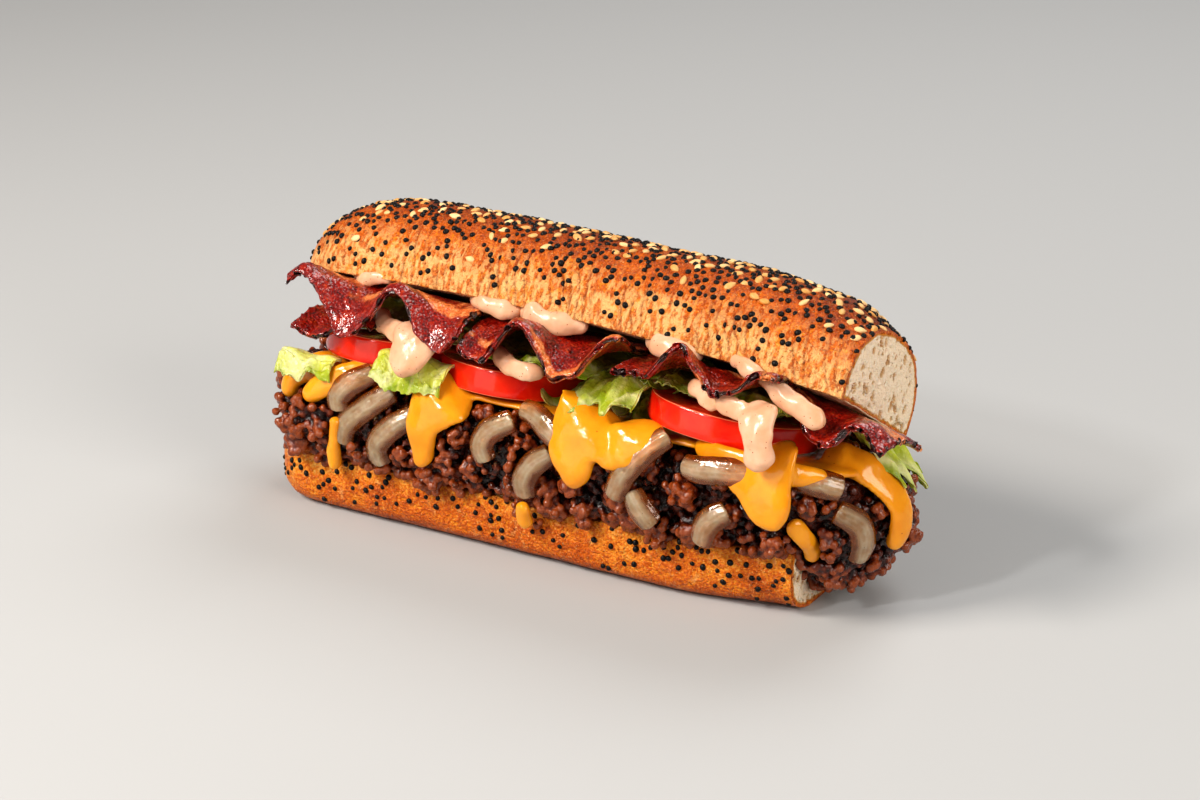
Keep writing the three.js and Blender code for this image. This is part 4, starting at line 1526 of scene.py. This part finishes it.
    def build(self, neighbours: Sequence[Form]) -> list[bpy.types.Object]:
        """The heap as fused skins of grains, one for each length of the loaf, over a core.

        Args:
            neighbours: What lies on the heap. Grains that would stick through it are left out.

        Returns:
            The pieces.
        """
        middles, radii = self.grains()
        cover = join([Form(f.points, f.quads, f.triangles) for f in neighbours]).tree()
        free = np.ones(len(middles), bool)
        for k, (middle, radius) in enumerate(zip(middles, radii)):
            spot, normal, _, distance = cover.find_nearest(Vector(middle))
            inside = (Vector(middle) - spot).dot(normal) < 0
            outward = Vector((middle[0] - min(middle[0], 85), middle[1], middle[2] - 30)).normalized()
            on_top = distance < 3 and normal.dot(outward) > 0.5
            free[k] = not inside and not on_top and distance > 0.8 * radius + 0.4
        free &= middles[:, 2] > radii + 0.2
        middles, radii = middles[free], radii[free]
        ball = small_ball()
        core = self.core(2.2)
        core_tree = core.tree()
        pieces = []
        for number, (first, last) in enumerate(zip(self.cuts, self.cuts[1:])):
            mine = (middles[:, 0] > first - 0.8) & (middles[:, 0] <= last + 0.8)
            places = middles[mine][:, None] + ball.points[None] * 1.2
            uneven = 1 + 0.13 * value_noise(places, 1.3, 83)
            cloud = middles[mine][:, None, :] + ball.points[None] * (radii[mine][:, None] * uneven)[..., None]
            step = np.arange(mine.sum())[:, None, None] * len(ball.points)
            grains = Form(cloud.reshape(-1, 3), triangles=(ball.triangles[None] + step).reshape(-1, 3))
            skin = melt_together(grains, 0.56, 1, 0.1)
            reach = np.array([core_tree.find_nearest(Vector(p))[3] for p in skin.points])
            # painted shade: darker nearer the core and in the creases between grains
            skin.values["outer"] = np.clip(0.95 * smooth(1.2, 7.2, reach) - 1.2 * skin.hollows(6), 0, 1)
            made = skin.to_object(f"beef_crumble_{number + 1}")
            pieces.append(dress(made, BrownedBeef(), "beef", "beef"))
        # painted shade: the core shows only in the gaps, so it gets the darker brown of a shaded gap
        core.values["outer"] = np.full(len(core.points), 0.42)
        pieces.append(dress(core.to_object("beef_core"), BrownedBeef(), "beef", "beef"))
        return pieces


def small_ball() -> Form:
    """A ball of radius 1 with 80 faces."""
    shape = bmesh.new()
    bmesh.ops.create_icosphere(shape, subdivisions=2, radius=1)
    shape.verts.ensure_lookup_table()
    points = np.array([v.co[:] for v in shape.verts])
    triangles = np.array([[v.index for v in f.verts] for f in shape.faces])
    shape.free()
    return Form(points, triangles=triangles)


# Onions


@dataclass
class OnionStrips(Layer):
    """Fried onion strips draped over the outside of the beef.

    Attributes:
        half: Half a strip's width.
        thickness: Half its thickness.
        paths: For each strip the points of its middle line.
        outs: Which way the outer side of some strips faces.
        behind: X of each strip on the back.
    """

    finish: ClassVar[Finish] = FriedOnion()
    slot: ClassVar[str] = "onion"
    half: float = 4.5
    thickness: float = 0.72
    paths: dict[str, tuple[Triple, ...]] = field(default_factory=lambda: {
        "onion_1": ((-65, -33, 53), (-72, -38, 49), (-76, -39, 44), (-76, -39, 39)),
        "onion_2": ((-57, -34, 49), (-67, -38.5, 41), (-73, -39.5, 35), (-75, -39, 28)),
        "onion_3": ((-48, -35, 43), (-56, -39, 37), (-61, -39.5, 30), (-60, -38, 23)),
        "onion_4": ((-11, -34, 49), (-19, -37, 44), (-21, -38, 39), (-19, -38, 34)),
        "onion_5": ((-10, -31, 52), (-2, -34.5, 52), (4, -37, 50), (9, -37.5, 46.5)),
        "onion_6": ((4, -36, 42), (-2, -38, 37), (-5, -38.5, 31), (-5, -37.5, 25)),
        "onion_7": ((43, -30, 55), (36, -35.5, 49), (31, -37.5, 42), (27, -37.5, 33)),
        "onion_8": ((50, -34, 48), (57, -35, 48.5), (65, -34, 49.5), (73, -32, 50)),
        "onion_9": ((66, -34, 37), (60, -36.5, 32), (57, -35.5, 24)),
        "onion_10": ((85, -27, 50), (91, -25, 49), (98, -20, 46.5)),
        "onion_11": ((97, -21.5, 39.5), (102, -15.5, 33.5), (103, -14, 27), (101, -13, 20)),
        "onion_12": ((33, -36, 36), (37, -37, 31), (41, -36, 26)),
    })
    outs: dict[str, Triple] = field(
        default_factory=lambda: {"onion_10": (0.5, -0.8, 0.5), "onion_11": (0.85, -0.5, 0.2)}
    )
    behind: tuple[float, ...] = (-52, 18, 58)

    def strands(self) -> dict[str, Strand]:
        """Every strip by its solid's name."""
        widths = (3.6, 0.95 * self.half, self.half, 0.97 * self.half, 3.8)
        made = {
            name: Strand(path, widths, self.thickness, self.outs.get(name, (0.0, -1.0, 0.3)), round_end=0.25)
            for name, path in self.paths.items()
        }
        for number, x in enumerate(self.behind):
            y = SKEW * x
            path = ((x + 10, 32 + y, 38), (x + 3, 36 + y, 34), (x - 2, 36.5 + y, 27))
            strand = Strand(path, widths, self.thickness, (0.0, 1.0, 0.3), round_end=0.25)
            made[f"onion_back_{number + 1}"] = strand
        return made

    def forms(self) -> dict[str, Form]:
        """Every strip's form, its edges curled in and its surface a little uneven."""
        made = {}
        for number, (name, strand) in enumerate(self.strands().items()):
            form = strand.form(48, 64, curl=1.4, squareness=3.4)
            made[name] = form.push(0.22 * rough_noise(form.points, 5.0, 90 + number))
        return made


# Cheese


@dataclass
class CheeseSauce(Layer):
    """Melted cheese over the beef, with runs down its sides and drips that stand alone.

    Attributes:
        runs: Runs that are one with the layer.
        drips: Drips apart from it, by their solid's name.
    """

    finish: ClassVar[Finish] = MeltedCheese()
    slot: ClassVar[str] = "cheese"
    runs: tuple[Strand, ...] = (
        Strand(((-62, -27, 53), (-74, -34, 50), (-84, -37, 45), (-89, -37, 40)), (4, 4.5, 4, 3.2), 1.8),
        Strand(((-80, -26, 52), (-92, -32, 48), (-98, -33, 43), (-99, -33, 37)), (4, 4.5, 3.6, 2.8), 1.8),
        Strand(((-34, -26, 53), (-38, -35, 50), (-42, -38.5, 42), (-42, -39, 34), (-42, -38, 28)),
               (13, 11, 6.5, 4, 3), 2),
        Strand(((21, -24, 54), (19, -33, 53), (14, -37.5, 46), (15, -38.5, 39), (16, -38, 34)),
               (21, 18, 9.5, 5.5, 4), 2),
        Strand(((33, -24, 55), (33, -32, 53), (31, -35, 47.5), (29, -36, 44)), (10, 9, 6, 3.5), 1.8),
        Strand(((72, -20, 54), (74, -29, 53), (78, -33, 46), (81, -34, 40), (83, -33, 35)),
               (17, 15, 9.5, 7.2, 4.4), 2),
        Strand(((84, -8, 50), (95, -7, 49), (103, -3, 43), (108, -1, 35), (108, -2, 28), (106, -3, 22)),
               (6, 5.6, 5, 4.6, 4.2, 3), 1.2, (1, -0.3, 0.4)),
        Strand(((50, -24, 51), (58, -28.5, 51.5), (70, -30, 51.5), (84, -28, 51), (93, -20, 49)),
               (2.5, 3.6, 4.4, 4, 2.6), 1.6),
        Strand(((-40, 12, 45), (-42, 26, 43), (-42, 33, 37), (-43, 34.5, 30)),
               (15, 13, 7, 3.5), 1.9, (0, 1, 0.4)),
        Strand(((36, 14, 46), (36, 30, 43), (36, 37, 37), (35, 38.5, 27)),
               (15, 12, 6, 3.4), 1.9, (0, 1, 0.4)),
    )
    drips: dict[str, Strand] = field(default_factory=lambda: {
        "cheese_drip_1": Strand(
            ((-76, -39.5, 37), (-77, -39, 31), (-78, -38.5, 24), (-78, -38, 18)), (2, 1.8, 2.6, 2.2), 1.7
        ),
        "cheese_drip_2": Strand(((-5, -37, 23), (-6, -36, 19), (-6, -34, 13.5)), (2.6, 2.8, 2.8), 1.7),
        "cheese_drip_3": Strand(
            ((85, -28.5, 36), (87.5, -26, 31), (88.5, -22, 26), (87.5, -18.5, 20)),
            (3.2, 3, 2.8, 2.6), 1.6, (0.6, -0.7, 0.3),
        ),
    })

    def layer(self) -> Form:
        """The sheet of cheese between the beef and the tomatoes."""
        x = np.linspace(-98, 98, 99)
        half = 24 * end_round(np.minimum(x + 99, 99 - x) + 2, 14)
        angle = 2 * math.pi * np.arange(64) / 64
        across, up = signed_power(np.cos(angle), 0.5), signed_power(np.sin(angle), 0.5)
        y = half[:, None] * across[None]
        z = 44.4 - 0.25 * y + 1.4 * up[None]
        rings = np.stack([np.repeat(x[:, None], 64, 1), y - 3 + SKEW * x[:, None], z], axis=-1)
        form = loft(rings)
        form.points[:, 2] += 0.7 * rough_noise(form.points, 9, 101)
        return form

    def forms(self) -> dict[str, Form]:
        """The layer with its runs, and each drip."""
        runs = []
        for number, run in enumerate(self.runs):
            form = replace(run, swell=0.6, thickness=run.thickness + 0.3).form(40, 60, squareness=2.2)
            runs.append(form.push(0.6 * rough_noise(form.points, 7.0, 105 + number)))
        made = {"cheese_sauce": melt_together(join([self.layer(), *runs]), 0.8, 7)}
        for name, drip in self.drips.items():
            form = replace(drip, swell=0.35).form(28, 44)
            made[name] = form.push(0.25 * rough_noise(form.points, 4.0, 120))
        return made


# Tomatoes


@dataclass
class TomatoSlices(Layer):
    """Round slices that lean back with the layers.

    Attributes:
        thickness: How thick a slice is.
        lean: Degrees that the slices fall towards the back.
        slices: X, Y, Z, radius and roll of each.
    """

    finish: ClassVar[Finish] = TomatoFlesh()
    slot: ClassVar[str] = "tomato"
    thickness: float = 8.6
    lean: float = 14
    slices: tuple[tuple[float, float, float, float, float], ...] = (
        (-73, -10, 53.5, 22.4, 0), (-28, -7, 51.8, 24, 0), (51, -2, 53, 27.5, 4), (-97, 14, 47.5, 12, 0),
    )

    def slice_form(self, x: float, y: float, z: float, radius: float, roll: float) -> Form:
        """One slice with a round-edged rim.

        Args:
            x: Its middle along the loaf.
            y: Its middle across the loaf.
            z: The height of its middle.
            radius: Its radius.
            roll: Degrees that it turns about Y.

        Returns:
            The closed form with the values "cut" and "edge", the second marking the painted highlight along
            the rim's edges.
        """
        angle = 2 * math.pi * np.arange(150) / 150
        half = self.thickness / 2
        turn = np.linspace(-math.pi / 2, math.pi / 2, 25)
        inner = np.array([0.12, 0.3, 0.5, 0.68, 0.8, 0.88, 0.93])
        r = np.concatenate([inner * radius, radius - 1.3 + 1.3 * np.cos(turn) ** 0.5, inner[::-1] * radius])
        h = np.concatenate([np.full(7, -half), half * signed_power(np.sin(turn), 0.5), np.full(7, half)])
        cut = np.concatenate([np.ones(7), np.abs(np.sin(turn)) ** 6, np.ones(7)])
        # painted highlight: where the pale line runs, near both edges of the rim
        edge = np.concatenate([np.zeros(7), np.exp(-((np.abs(turn) - 1.08) / 0.13) ** 2), np.zeros(7)])
        wobble = 1 + 0.012 * np.cos(3 * angle + x) + 0.008 * np.cos(5 * angle + y)
        middling = np.sin(math.pi * np.clip(r / radius, 0, 1))[:, None]
        dent = 0.35 * np.cos(6 * angle + x)[None] * middling * (cut[:, None] > 0.9)
        rings = np.stack([
            r[:, None] * np.cos(angle)[None] * wobble, r[:, None] * np.sin(angle)[None] * wobble,
            np.repeat(h[:, None], 150, 1) - dent * np.sign(h)[:, None],
        ], axis=-1)
        form = loft(rings)
        form.values["cut"] = np.append(np.repeat(cut, 150), [1, 1])
        form.values["edge"] = np.append(np.repeat(edge, 150), [0, 0])
        lean, turned = -math.radians(self.lean), math.radians(roll)
        px, py, pz = form.points.T
        py, pz = py * math.cos(lean) - pz * math.sin(lean), py * math.sin(lean) + pz * math.cos(lean)
        px, pz = px * math.cos(turned) + pz * math.sin(turned), -px * math.sin(turned) + pz * math.cos(turned)
        form.points = np.stack([px + x, py + y, pz + z], axis=1)
        return form

    def forms(self) -> dict[str, Form]:
        """Every slice by its solid's name."""
        return {f"tomato_{i + 1}": self.slice_form(*spec) for i, spec in enumerate(self.slices)}


# Bacon


@dataclass(frozen=True)
class Rasher:
    """One rasher: it lies under the crown and its front edge hangs out in waves.

    Attributes:
        start: X of its left end.
        end: X of its right end.
        inner: Y and Z of its hidden edge.
        bend: Y and Z where it leaves the crown's shelter.
        edge: Y and Z of its outer edge.
        wave: How far the waves rise and fall.
        phase: X of a wave's top.
        length: The length of a wave.
        twist: How much lower its right end is than its left, as a share of 20 mm.
        width: How wide the meat is laid out flat.
        face: The length of a face along it.
    """

    start: float
    end: float
    inner: Pair
    bend: Pair
    edge: Pair
    wave: float
    phase: float
    length: float
    twist: float = 0.0
    width: float = 34
    face: float = 0.52

    def middle(self, u: Array, v: Array, seed: int) -> Array:
        """The rasher's middle surface for shares along and across it.

        Args:
            u: Shares along it.
            v: Shares across it, 1 at the outer edge.
            seed: Fixes its small ruffles.

        Returns:
            One point for each pair of shares.
        """
        x = mix(self.start, self.end, u)
        row = np.stack([x, x * 0 + seed * 7.3, x * 0], axis=-1)
        reach = v * (1 + 0.05 * v * rough_noise(row, 9, seed))
        swing = 2.1 * np.abs(np.cos(math.pi * (x - self.phase) / self.length)) ** 2.6 - 1
        fall = smooth(0.3, 1, reach)
        first, last = (1 - 2 * reach) * (1 - reach), reach * (2 * reach - 1)
        mid = 4 * reach * (1 - reach)
        halfway = [mix(self.bend[i], self.edge[i], (0.05 / 0.55) ** (1 + 0.4 * i)) for i in range(2)]
        y = first * self.inner[0] + mid * halfway[0] + last * self.edge[0]
        z = first * self.inner[1] + mid * halfway[1] + last * self.edge[1]
        crumple = rough_noise(np.stack([x, 16 * v, v * 0 + seed], axis=-1), 8, seed + 11, 4)
        ruffle = value_noise(np.stack([x, v * 4, v * 0 + seed], axis=-1), 4.2, seed + 12) * smooth(0.45, 1, v)
        y = y + SKEW * 0.5 * x + 1.4 * swing * fall * v + 1.8 * ruffle
        z = z + self.wave * swing * fall - self.twist * (u - 0.5) * 20
        z = z + 1.3 * ruffle + 2.0 * crumple * smooth(0.2, 0.6, v)
        return np.stack([x, y, z], axis=-1)

    def form(self, seed: int) -> Form:
        """The rasher with its streaks of fat, charred edges and blistered skin."""
        long = self.end - self.start
        steps = int(long / self.face)

        def thickness(u: Array, v: Array) -> Array:
            """Thick in the middle and thin at the edges."""
            edge = np.minimum(np.minimum(v, 1 - v) * self.width, np.minimum(u, 1 - u) * long)
            return 0.5 + 1.5 * np.sqrt(np.clip(edge / 1.4, 0.02, 1))

        sheet = thin_sheet(lambda u, v: self.middle(u, v, seed), steps, 60, thickness)
        along, across = sheet.values["along"] * long, sheet.values["across"] * self.width
        flat = np.stack([along, across, along * 0 + seed * 3.1], axis=1)
        band = flat * np.array([0.16, 1.0, 1.0])
        streak = value_noise(band + 0.9 * value_noise(flat, 9, seed)[:, None], 5.2, seed + 2)
        edge = np.minimum(self.width - across, np.minimum(along, long - along))
        sheet.values["fat"] = smooth(0.22, 0.5, streak + 0.2 * value_noise(flat, 1.8, seed + 3))
        rim = smooth(0.8, 0.1, edge + 0.5 + 1.6 * value_noise(flat, 2.0, seed + 8))
        beads = np.clip(value_noise(flat, 1.3, seed + 5), 0, 1) * smooth(2.2, 0.5, edge)
        scorched = 0.45 * smooth(0.4, 0.9, value_noise(flat, 6, seed + 4))
        sheet.values["char"] = np.clip(rim + 1.1 * beads + scorched, 0, 1)
        bubbles = np.clip(value_noise(flat, 1.1, seed + 7), 0, 1)
        return sheet.push(0.34 * rough_noise(flat, 2.4, seed + 6) + 0.22 * bubbles + 1.1 * beads)


@dataclass
class Bacon(Layer):
    """The rashers, by their solid's name."""

    finish: ClassVar[Finish] = FriedBacon()
    slot: ClassVar[str] = "bacon"
    rashers: dict[str, Rasher] = field(default_factory=lambda: {
        "bacon_1": Rasher(-97, -31, (4, 64.5), (-19, 77), (-33, 74), 7, -56, 35),
        "bacon_2": Rasher(-31, 25, (4, 66), (-18, 74), (-34, 74), 7, -9, 33),
        "bacon_3": Rasher(25, 79, (2, 62.5), (-17, 73), (-33, 77.5), 4.5, 46, 30),
        "bacon_4": Rasher(79, 112, (0, 57.5), (-12, 65.5), (-28, 66), 3, 78, 26, 0.4),
        "bacon_5": Rasher(-96, -66, (-6, 61), (-20, 65), (-32, 65), 3, -72, 34),
        "bacon_back": Rasher(-76, 44, (9, 60.5), (20, 56), (36, 49.5), 1.6, 0, 34),
    })

    def forms(self) -> dict[str, Form]:
        """Every rasher's form."""
        return {name: rasher.form(200 + 20 * i) for i, (name, rasher) in enumerate(self.rashers.items())}


# Lettuce


@dataclass(frozen=True)
class Leaf:
    """One leaf: flat inside the sandwich, with a ruffled edge that shows.

    Attributes:
        start: Where it begins along its edge.
        end: Where it ends along its edge.
        inner: Its hidden edge, as distance outwards and height.
        outer: Its ruffled edge, as distance outwards and height.
        ruffle: How far the ruffles rise.
        waves: How many there are.
        along_y: Whether its edge runs along Y, at the cut end, and not along X.
        ragged: How deep its torn notches are, as a share of its reach.
        droop: How far its middle arches up and its edge hangs down.
    """

    start: float
    end: float
    inner: Pair
    outer: Pair
    ruffle: float
    waves: float
    along_y: bool = False
    ragged: float = 0.2
    droop: float = 2.0

    def middle(self, u: Array, v: Array, seed: int) -> Array:
        """The leaf's middle surface for shares along and across it.

        Args:
            u: Shares along it.
            v: Shares across it, 1 at the ruffled edge.
            seed: Fixes its crinkles.

        Returns:
            One point for each pair of shares.
        """
        run = mix(self.start, self.end, u)
        row = np.stack([run, run * 0 + seed * 5.7, run * 0], axis=-1)
        torn = 0.5 + 0.5 * np.cos(2 * math.pi * self.waves * u + 1)
        torn = mix(torn, 0.5 + 0.8 * rough_noise(row, 5, seed, 4), 0.55)
        reach = v * (1 - self.ragged * torn * (0.5 + 0.9 * v))
        wave = np.sin(2 * math.pi * self.waves * u)
        flat = np.stack([run, 26 * v, v * 0 + seed * 2.1], axis=-1)
        crinkle = rough_noise(flat, 6.0, seed + 1, 4)
        fine = rough_noise(flat * np.array([1, 0.5, 1]), 3.2, seed + 2)
        bulge = self.ruffle * (0.25 + 0.75 * v) * wave + (2.0 * fine + 3.2 * crinkle) * smooth(0.15, 0.8, v)
        out = mix(self.inner[0], self.outer[0], reach)
        span = math.copysign(1, self.outer[0] - self.inner[0])
        out = out + 0.45 * self.ruffle * wave * (0.25 + 0.75 * v) + span * (1.3 * fine - 1.2 * crinkle) * v
        arch = self.droop * (4 * reach * (1 - reach) - reach**4)
        z = mix(self.inner[1], self.outer[1], reach**2) + bulge + arch
        shifted = run + 1.2 * rough_noise(flat, 8, seed + 7) * v
        if self.along_y:
            return np.stack([out, shifted, z - 0.46 * (run - self.start)], axis=-1)
        return np.stack([shifted, out + SKEW * 0.5 * run, z], axis=-1)

    def form(self, seed: int, step: float = 0.45) -> Form:
        """The leaf with its veins and crinkles, in steps of so many millimetres."""
        long = abs(self.end - self.start)
        wide = math.hypot(self.outer[0] - self.inner[0], self.outer[1] - self.inner[1])
        sheet = thin_sheet(
            lambda u, v: self.middle(u, v, seed),
            int(long / step),
            int(wide / step) + 10,
            lambda u, v: 0.55 + 0.5 * (1 - v),
        )
        along, across = sheet.values["along"] * long, sheet.values["across"] * wide
        flat = np.stack([along, across * 0.8, along * 0 + seed], axis=1)
        sway = [value_noise(flat, 6, seed + 3), value_noise(flat, 6, seed + 4), along * 0]
        warped = flat + 1.4 * np.stack(sway, axis=1)
        vein = np.maximum(0.9 * ridges(warped, 9.0, seed + 5), 0.6 * ridges(warped, 4.2, seed + 6))
        sheet.values["vein"] = np.clip(vein, 0, 1) ** 1.5
        return sheet.push(0.16 * sheet.values["vein"] - 0.22 * rough_noise(flat, 1.8, seed + 8))


@dataclass
class Lettuce(Layer):
    """The leaves.

    Attributes:
        leaves: Those that have a solid, by its name.
        inner: Smaller ones that lie hidden where the solids leave a gap.
    """

    finish: ClassVar[Finish] = LettuceLeaf()
    slot: ClassVar[str] = "lettuce"
    leaves: dict[str, Leaf] = field(default_factory=lambda: {
        "lettuce_left": Leaf(-99, -79, (-29, 53), (-39, 47), 1, 1.5),
        "lettuce_1": Leaf(-63, -37, (-26, 59), (-39, 48), 1.6, 2),
        "lettuce_2": Leaf(-32, 12, (8, 57.5), (-31, 68.5), 1, 2.5, droop=3),
        "lettuce_3": Leaf(9, 29, (6, 56), (-38, 61), 2, 2, droop=7),
        "lettuce_4": Leaf(34, 78, (2, 58.5), (-30, 71), 1.2, 3, droop=3),
        "lettuce_end": Leaf(-2, 25, (79, 58.5), (108, 41), 2.4, 3, along_y=True),
        "lettuce_back_1": Leaf(-66, -14, (12, 54), (37, 41), 1, 3),
        "lettuce_back_2": Leaf(10, 66, (10, 55.5), (37, 42), 1, 3),
    })
    inner: tuple[Leaf, ...] = (
        Leaf(-92, -30, (26, 58), (-24, 66), 1.5, 4),
        Leaf(-38, 30, (26, 58), (-25, 67), 1.5, 4),
        Leaf(22, 92, (26, 57), (-24, 65), 1.5, 4),
        Leaf(-12, 32, (24, 49), (-26, 54), 2, 4),
        Leaf(-96, -10, (12, 52), (7, 66), 1, 5),
        Leaf(-10, 32, (12, 44), (6, 66), 1, 4),
        Leaf(30, 94, (12, 52), (7, 66), 1, 5),
    )

    def forms(self) -> dict[str, Form]:
        """Every leaf that has a solid."""
        return {name: leaf.form(400 + 20 * i) for i, (name, leaf) in enumerate(self.leaves.items())}

    def build(self) -> list[Form]:
        """Builds the leaves that have a solid, and lays the others inside."""
        forms = super().build()
        for number, leaf in enumerate(self.inner):
            inside = leaf.form(600 + 20 * number, 0.8).to_object(f"lettuce_inner_{number + 1}")
            dress(inside, self.finish, self.slot)
        return forms


# Mayonnaise


@dataclass
class Mayonnaise(Layer):
    """Dollops squeezed out under the crown and runs over the tomatoes, by their solid's name."""

    finish: ClassVar[Finish] = PinkMayonnaise()
    slot: ClassVar[str] = "sauce"
    dollops: dict[str, tuple[Strand, ...]] = field(default_factory=lambda: {
        "sauce_1": (Strand(((-84, -16, 77.5), (-76, -20, 78.5), (-67, -18, 80)), (2.4, 2.8, 2.2), 1.8),),
        "sauce_2": (
            Strand(((-38, -12, 78), (-32, -20, 79.4), (-24, -21, 79.2), (-17, -18, 79.5)),
                   (2.6, 3.3, 3.2, 2.4), 2),
        ),
        "sauce_3": (
            Strand(((-18, -15, 79), (-13, -21, 79.8), (-3, -22, 79), (7, -18, 78.5)),
                   (3, 3.9, 3.8, 2.6), 2.2),
        ),
        "sauce_4": (
            Strand(((28, -15, 78), (33, -20, 79.4), (40, -21, 79), (48, -18, 78.5)),
                   (2.8, 3.6, 3.5, 2.6), 2.1),
        ),
        "sauce_5": (
            Strand(((58, -19, 79.5), (66, -22, 78.5), (74, -22.5, 76.3)), (2.2, 3, 2.2), 1.8),
            Strand(((70, -22, 77.5), (80, -24.5, 74), (89, -26, 70.5), (94, -26, 69)),
                   (2.4, 3.6, 3.8, 3.6), 2.3),
        ),
        "sauce_6": (
            Strand(((-73, -20, 67.5), (-66, -26, 68.5), (-57, -31, 68), (-50, -34, 66)),
                   (1.6, 3.4, 3.2, 5.2), 1.8),
            Strand(((-46, -26, 71), (-47, -33, 68), (-49, -37, 62.5), (-49.5, -37.5, 57)),
                   (9, 8.4, 6.6, 5), 2.6, swell=0.5),
        ),
        "sauce_7": (
            Strand(((-24, -22, 65), (-18, -28, 65.5), (-9, -31, 64.5), (-2, -29, 64.5)),
                   (2.6, 3.3, 3.4, 2.2), 1.8),
        ),
        "sauce_8": (
            Strand(((46, -22, 69.5), (54, -27, 69.3), (60, -29.5, 68.5)), (2.2, 3.2, 2.6), 1.5),
            Strand(((58, -28, 69.5), (64, -30.5, 69.5), (72, -32, 69)), (2, 3.2, 4), 1.5),
            Strand(((74, -27, 71.5), (75, -32.5, 69.5), (77.5, -36.5, 62), (79, -36.5, 54)),
                   (8, 7, 4.8, 5.2), 2.2, swell=0.5),
        ),
    })

    def forms(self) -> dict[str, Form]:
        """Every dollop's form, its parts fused."""
        made = {}
        for number, (name, strands) in enumerate(self.dollops.items()):
            parts = [strand.form(32, 48) for strand in strands]
            parts = [part.push(1.4 * rough_noise(part.points, 5.5, 300 + number)) for part in parts]
            made[name] = melt_together(join(parts), 0.5, 12)
        return made


# Studio


@dataclass
class Lamp:
    """One square soft light.

    Attributes:
        place: Where it stands, in metres.
        size: Its width in metres.
        power: Its power in watts.
        warmth: Its colour as an sRGB hex code.
    """

    place: Triple
    size: float
    power: float
    warmth: int = 0xFFFFFF


@dataclass
class Studio:
    """A pale floor, soft lights and the camera at the photograph's angle.

    Attributes:
        azimuth: The camera's angle round the sandwich in degrees, 0 in front of the mouth.
        elevation: The camera's height above the horizon in degrees.
        distance: From the camera to its target, in millimetres.
        target: What the camera looks at, in millimetres.
        lens: Its focal length in millimetres.
        air: How bright the surrounding air is.
        reach: How far the floor runs to each side, in metres.
        lamps: The soft lights.
    """

    azimuth: float = 32
    elevation: float = 23
    distance: float = 905
    target: Triple = (0, 0, 46)
    lens: float = 85
    air: float = 0.15
    reach: float = 4
    lamps: tuple[Lamp, ...] = (
        Lamp((-0.6, -0.75, 0.95), 0.36, 14, 0xFFF7EE),
        Lamp((1.0, -0.25, 0.55), 0.6, 7, 0xFFFAF4),
        Lamp((-0.25, -0.9, 0.7), 0.09, 3.5, 0xFFFFFF),
        Lamp((-0.35, -1.0, 0.16), 0.7, 2.5, 0xFFF7EE),
        Lamp((0.1, 0.75, 1.0), 0.7, 6.5, 0xFFFFFF),
    )

    def build(self) -> None:
        """Sets up the floor, the lights and the camera."""
        self.lay_floor()
        self.light_air()
        centre = Vector(tuple((np.array(self.target) + SHIFT) * MM))
        for number, lamp in enumerate(self.lamps):
            data = bpy.data.lights.new(f"soft light {number + 1}", "AREA")
            data.size = lamp.size
            data.energy = lamp.power
            data.color = srgb(lamp.warmth)[:3]
            self.aim(bpy.data.objects.new(data.name, data), Vector(lamp.place), centre)
        self.set_camera(centre)

    def lay_floor(self) -> None:
        """The wide floor under the sandwich, which the part leaves out."""
        corners = self.reach * np.array([[-1, -1, 0], [1, -1, 0], [1, 1, 0], [-1, 1, 0]]) / MM
        ground = Form(corners - SHIFT, np.array([[0, 1, 2, 3]])).to_object("floor")
        ground.data.materials.append(StudioPaper().material())

    def light_air(self) -> None:
        """The faint even light from all round."""
        world = bpy.data.worlds.new("studio air")
        world.use_nodes = True
        background = world.node_tree.nodes["Background"]
        background.inputs[0].default_value = srgb(0xF4F6FA)
        background.inputs[1].default_value = self.air
        bpy.context.scene.world = world

    def set_camera(self, centre: Vector) -> None:
        """The camera, facing the sandwich's middle, and how its picture is developed."""
        a, e = math.radians(self.azimuth), math.radians(self.elevation)
        back = Vector((math.sin(a) * math.cos(e), -math.cos(a) * math.cos(e), math.sin(e)))
        camera = bpy.data.cameras.new("camera")
        camera.lens = self.lens
        camera.sensor_width = 36
        camera.clip_start = 0.01
        eye = bpy.data.objects.new("camera", camera)
        self.aim(eye, centre + back * self.distance * MM, centre)
        scene = bpy.context.scene
        scene.camera = eye
        scene.view_settings.view_transform = "Standard"
        scene.view_settings.look = "Medium High Contrast"

    def aim(self, thing: bpy.types.Object, place: Vector, target: Vector) -> None:
        """Puts a light or the camera at a place, facing the target."""
        thing.location = place
        thing.rotation_euler = (target - place).to_track_quat("-Z", "Y").to_euler()
        bpy.context.scene.collection.objects.link(thing)


def build_roll() -> None:
    """Both halves of the roll with their seeds."""
    poppy = SeedHull("poppy seed", 0.4, 0x120E0C, 0x060404)
    sesame = SeedHull()
    for half in (Heel(), Crown()):
        crust = half.build()
        dots = Seeding(Seed.POPPY, 1.9, half.poppies, (1.0, 1.45), 3, 0.1)
        dots.scatter(crust, f"{half.name}_poppy", poppy)
        if isinstance(half, Crown):
            drops = Seeding(Seed.SESAME, 3.2, 6.0, (0.9, 1.2), 8, -0.1)
            drops.scatter(crust, f"{half.name}_sesame", sesame)


def main() -> None:
    """Builds every piece in order."""
    logging.basicConfig(level=logging.INFO, format="%(name)s: %(message)s")
    build_roll()
    under_crown: list[Form] = []
    for layer in (OnionStrips(), CheeseSauce(), TomatoSlices(), Lettuce()):
        under_crown += layer.build()
    BeefHeap().build(under_crown)
    Bacon().build()
    Mayonnaise().build()
    Studio().build()


if __name__ == "__main__":
    main()
